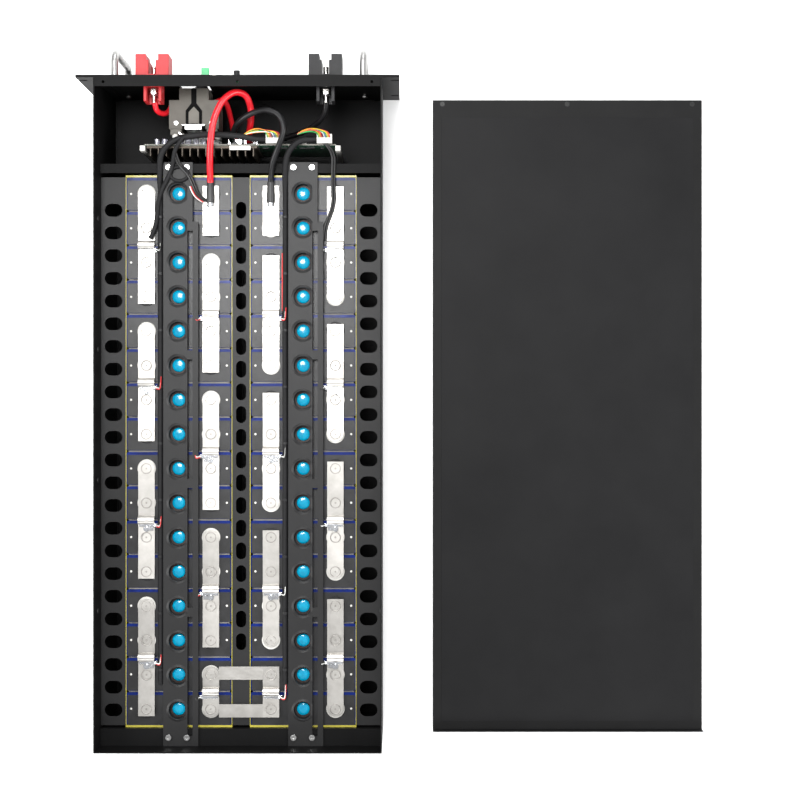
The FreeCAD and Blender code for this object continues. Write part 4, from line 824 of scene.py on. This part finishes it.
def board_parts():
    """Chips, power transistors, capacitors and shunts on the management board."""
    low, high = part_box("bms_board")
    front, back = low.y, high.y

    def down(distance):
        """A height, from how far it is below the board's top edge."""
        return high.z - distance * MM

    chips, tabs, cans = bmesh.new(), bmesh.new(), bmesh.new()
    for k in range(12):
        x = (-132 + 10.2 * k) * MM
        add_box(chips, (x, front - 4.6 * MM, down(44)), (x + 8.4 * MM, front, down(32)))
        add_box(tabs, (x + 0.6 * MM, front - 1.4 * MM, down(32)), (x + 7.8 * MM, front, down(27.5)))
        for leg in (1.2, 3.7, 6.2):
            add_box(tabs, (x + leg * MM, front - 0.8 * MM, down(48.5)), (x + (leg + 1) * MM, front, down(44)))
    for k in range(9):
        x = (-140 + 14 * k) * MM
        tall = (5 + 8 * chance.random()) * MM
        add_box(chips, (x, back, down(26)), (x + tall, back + 1.6 * MM, down(26) + tall * 0.7))
    can = in_mm([(0, 0), (4.6, 0), (4.6, 11), (4.2, 11.6), (0, 11.4)])
    for k in range(7):
        turned(cans, ((58 + 12 * k) * MM, front, down(26)), can, axis=(0, -1, 0), steps=24)
    for k in range(4):
        x = (44 + 16 * k) * MM
        add_box(chips, (x, front - 2.2 * MM, down(68)), (x + 10 * MM, front, down(58)))
        add_box(tabs, (x, front - 1.2 * MM, down(90)), (x + 9 * MM, front, down(86)))
    edge, plug = bmesh.new(), bmesh.new()
    add_box(
        edge,
        (low.x + 0.3 * MM, low.y + 0.2 * MM, high.z),
        (high.x - 0.3 * MM, high.y - 0.2 * MM, high.z + 0.3 * MM),
    )
    add_box(plug, (-16 * MM, back + 0.5 * MM, down(1.8)), (16 * MM, back + 7 * MM, down(-2.2)))
    round_edges(plug, 0.5 * MM)
    # The board edge uses the beige darkened with painted shade.
    piece("board_edge", edge, BEIGE_WITH_PAINTED_SHADE)
    piece("fan_plug", plug, WHITE)
    for builder in (chips, tabs):
        round_edges(builder, 0.2 * MM, 1)
    piece("board_chips", chips, CHIP)
    piece("board_tabs", tabs, TIN)
    piece("board_capacitors", cans, CAPACITOR)


def plate(builder, outline, z, thick):
    """A flat plate of (x, y) corners that stands on height z."""
    face = builder.faces.new([builder.verts.new((x, y, z)) for x, y in outline])
    lifted = bmesh.ops.extrude_face_region(builder, geom=[face])["geom"]
    moved = [item for item in lifted if isinstance(item, bmesh.types.BMVert)]
    bmesh.ops.translate(builder, vec=(0, 0, thick), verts=moved)


def breaker_groove_shade_and_seam(low, high):
    """The seam between the two poles, and a near-black Y-shaped sheet on the breaker's upper side that is
    painted shade for the groove there.
    """
    builder = bmesh.new()
    middle, seam_z = (low.x + high.x) / 2, (low.z + high.z) / 2
    shoulder = low.y + 18 * MM
    proud, seam = 0.15 * MM, 0.5 * MM
    add_box(
        builder,
        (low.x - proud, shoulder + 1 * MM, seam_z - seam),
        (high.x + proud, high.y - 1 * MM, seam_z + seam),
    )
    narrow, wide = 4 * MM, 12.5 * MM
    stem, split, rear = low.y + 0.6 * MM, low.y + 23 * MM, high.y - 4 * MM
    fork = split + 11 * MM
    outline = [(-narrow, stem), (narrow, stem), (narrow, split), (wide, fork), (wide, rear), (-wide, rear),
               (-wide, fork), (-narrow, split)]
    plate(builder, [(middle + x, y) for x, y in outline], high.z, 0.4 * MM)
    # The Y-shaped sheet is painted shade for the groove.
    piece("breaker_seams_and_groove_shade", builder, GROOVE_SHADE_AND_SEAM)


def breaker_shrouds(low, high):
    """The pale island inside the channel and the shrouds behind the shoulders, in beige darkened with painted
    shade.
    """
    builder = bmesh.new()
    middle = (low.x + high.x) / 2
    split, rear, half = low.y + 23 * MM, high.y - 8 * MM, 8 * MM
    island = [(0, split + 5 * MM), (half, split + 13.5 * MM), (half, rear), (-half, rear),
              (-half, split + 13.5 * MM)]
    plate(builder, [(middle + x, y) for x, y in island], high.z, 1 * MM)
    for lean in SIDES:
        inner, outer = sorted((middle + lean * 19.5 * MM, middle + lean * 36 * MM))
        add_box(
            builder,
            (inner, high.y + 0.2 * MM, low.z + 9 * MM),
            (outer, high.y + 9 * MM, high.z - 1 * MM),
        )
    round_edges(builder, 0.3 * MM)
    piece("breaker_shrouds", builder, BEIGE_WITH_PAINTED_SHADE)


def breaker_screws(low, high):
    """Terminal screws on the shoulders, one to a pole, and a ring mark on the upper side."""
    builder = bmesh.new()
    middle, shoulder = (low.x + high.x) / 2, low.y + 18 * MM
    head = in_mm([(0, 0), (3.2, 0), (3.2, 2), (2.8, 2.4), (0, 2.4)])
    for lean in SIDES:
        for rise in (13.5 * MM, 40.5 * MM):
            base = (middle + lean * 31 * MM, shoulder + 4 * MM, low.z + rise)
            turned(builder, base, head, axis=(0, -1, 0), steps=24)
        mark = (middle + lean * 27 * MM, high.y - 9 * MM, high.z)
        ring_of(builder, mark, 1.2 * MM, 3.4 * MM, 0.5 * MM, 0.15 * MM, steps=28)
    piece("breaker_screws", builder, ZINC)


def breaker_details():
    """What the breaker shows from above, the bow behind it and the caps of the board's posts."""
    low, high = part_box("breaker_body")
    middle = (low.x + high.x) / 2
    breaker_groove_shade_and_seam(low, high)
    breaker_shrouds(low, high)
    breaker_screws(low, high)
    arch, caps = bmesh.new(), bmesh.new()
    half, rise, slices = 22 * MM, 6 * MM, 10
    bow = []
    for k in range(slices + 1):
        turn = math.pi * k / slices
        bow.append((middle + half * math.cos(turn), high.y + rise + rise * math.sin(turn), high.z + 1 * MM))
    strap(arch, bow, 9 * MM, 1.6 * MM)
    round_edges(arch, 0.3 * MM)
    piece("breaker_bow", arch, TIN)
    cap = in_mm([(0, 0), (4.6, 0), (4.6, 6), (3.6, 8), (0, 8.4)])
    for off in (27, 15, -27, -37):
        turned(caps, (middle + off * MM, high.y + 13.5 * MM, high.z + 4.5 * MM), cap, steps=24)
    piece("post_caps", caps, WHITE)


def strap(builder, points, wide, thick):
    """A bent flat bar through points, its width along Z."""
    rows = []
    up = UP * wide / 2
    for k, spot in enumerate(points):
        before = points[max(k - 1, 0)]
        after = points[min(k + 1, len(points) - 1)]
        along = (Vector(after) - Vector(before)).normalized()
        side = along.cross(UP).normalized() * thick / 2
        corners = (side - up, -side - up, -side + up, side + up)
        rows.append([builder.verts.new(Vector(spot) + corner) for corner in corners])
    join_rings(builder, rows)


def bay_leads():
    """Leads from the studs' nuts and the breaker down to the board."""
    red = [(130, -483, 133), (130, -474, 131), (128, -466, 124), (121, -464, 112), (113, -468, 104),
           (109.5, -478, 101)]
    right = [(-130, -483, 132), (-130, -472, 130), (-127, -460, 122), (-112, -448, 104), (-84, -438, 78),
             (-50, -434, 56)]
    left = [(42, -487, 88), (34, -493, 88), (26, -486, 78), (22, -464, 58), (20, -446, 46), (17, -438, 40)]
    for name, route, radius, material, slot in (
        ("breaker_lead", red, 4.2, RED_CABLE, "red_cable"),
        ("post_lead", right, 4.4, BLACK_CABLE, "black_cable"),
        ("board_lead", left, 4.2, RED_CABLE, "red_cable"),
    ):
        wire(name, [in_mm(route)], radius * MM, material)


def post_lugs():
    """A ring lug behind each stud's nut, with the tab that carries its lead."""
    low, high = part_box("positive_terminal_block")
    post_x, post_z = (low.x + high.x) / 2, (low.z + high.z) / 2
    nut_back = high.y - 12 * MM
    builder = bmesh.new()
    for side in SIDES:
        x = side * post_x
        ring_of(builder, (x, nut_back, post_z), 4 * MM, 8 * MM, 1.8 * MM, 0.3 * MM, axis=(0, 1, 0), steps=28)
        add_box(
            builder,
            (x - 4 * MM, nut_back + 0.2 * MM, post_z - 12 * MM),
            (x + 4 * MM, nut_back + 1.8 * MM, post_z - 4 * MM),
        )
    piece("post_lugs", builder, TIN)


# ---- stage ----

def stage():
    """A pale floor, an even white world and a plain view of its colours."""
    mesh = bpy.data.meshes.new("floor")
    half, below, world_strength = 6.0, 0.0002, 0.58
    corners = [(-half, -half, 0), (half, -half, 0), (half, half, 0), (-half, half, 0)]
    mesh.from_pydata(corners, [], [(0, 1, 2, 3)])
    thing = bpy.data.objects.new("floor", mesh)
    mesh.materials.append(surface("floor_paper", (0.95, 0.95, 0.95), (0.93, 0.93, 0.93), 0.7, patch=0.8,
                                  grain=300, strength=0.02, specular=0.1))
    bpy.context.scene.collection.objects.link(thing)
    thing.location.z = CAD_BOUNDS[0][2] - below
    world = bpy.data.worlds.new("studio")
    world.use_nodes = True
    background = world.node_tree.nodes["Background"]
    background.inputs["Color"].default_value = (1, 1, 1, 1)
    background.inputs["Strength"].default_value = world_strength
    bpy.context.scene.world = world
    bpy.context.scene.view_settings.view_transform = "Standard"


def lamp(name, spot, aim, width, power):
    light = bpy.data.lights.new(name, "AREA")
    light.shape = "DISK"
    light.size = width
    light.energy = power
    thing = bpy.data.objects.new(name, light)
    thing.location = spot
    thing.rotation_euler = (Vector(aim) - Vector(spot)).to_track_quat("-Z", "Y").to_euler()
    bpy.context.scene.collection.objects.link(thing)


def camera():
    """Straight down over the whole object, the front panel at the top of the frame."""
    low, high = (Vector(corner) for corner in CAD_BOUNDS)
    middle = (low + high) / 2
    distance, margin = 2.5, 1.17
    shown = (high.y - low.y) * margin
    data = bpy.data.cameras.new("camera")
    data.lens = data.sensor_width * (distance - high.z / 2) / shown
    thing = bpy.data.objects.new("camera", data)
    thing.location = (middle.x, middle.y, distance)
    thing.rotation_euler = (0, 0, math.pi)
    bpy.context.scene.collection.objects.link(thing)
    bpy.context.scene.camera = thing


camera()
stage()
lamp("front_lamp", (0.15, -0.6, 2.35), (0, -0.35, 0), 0.8, 42)
lamp("left_lamp", (2.5, 0.3, 1.8), (0.2, 0, 0), 1.6, 76)
lamp("right_lamp", (-2.9, 0.2, 1.9), (-0.5, 0, 0), 1.6, 76)
lamp("rear_lamp", (-0.2, 2.6, 1.8), (-0.2, 0.4, 0), 1.6, 50)
lamp("far_lamp", (-0.2, -2.6, 1.6), (-0.2, -0.9, 0), 1.4, 40)
case_parts()
vent_collars()
wall_rivets()
lid_sheets()
lid_details()
vents()
busbars()
weld_beads()
sense_tabs()
heat_shrink()
loom_sleeves()
sense_wires()
spare_loops()
loom_ties()
board_wires()
board_parts()
breaker_details()
bay_leads()
post_lugs()
cover_film()
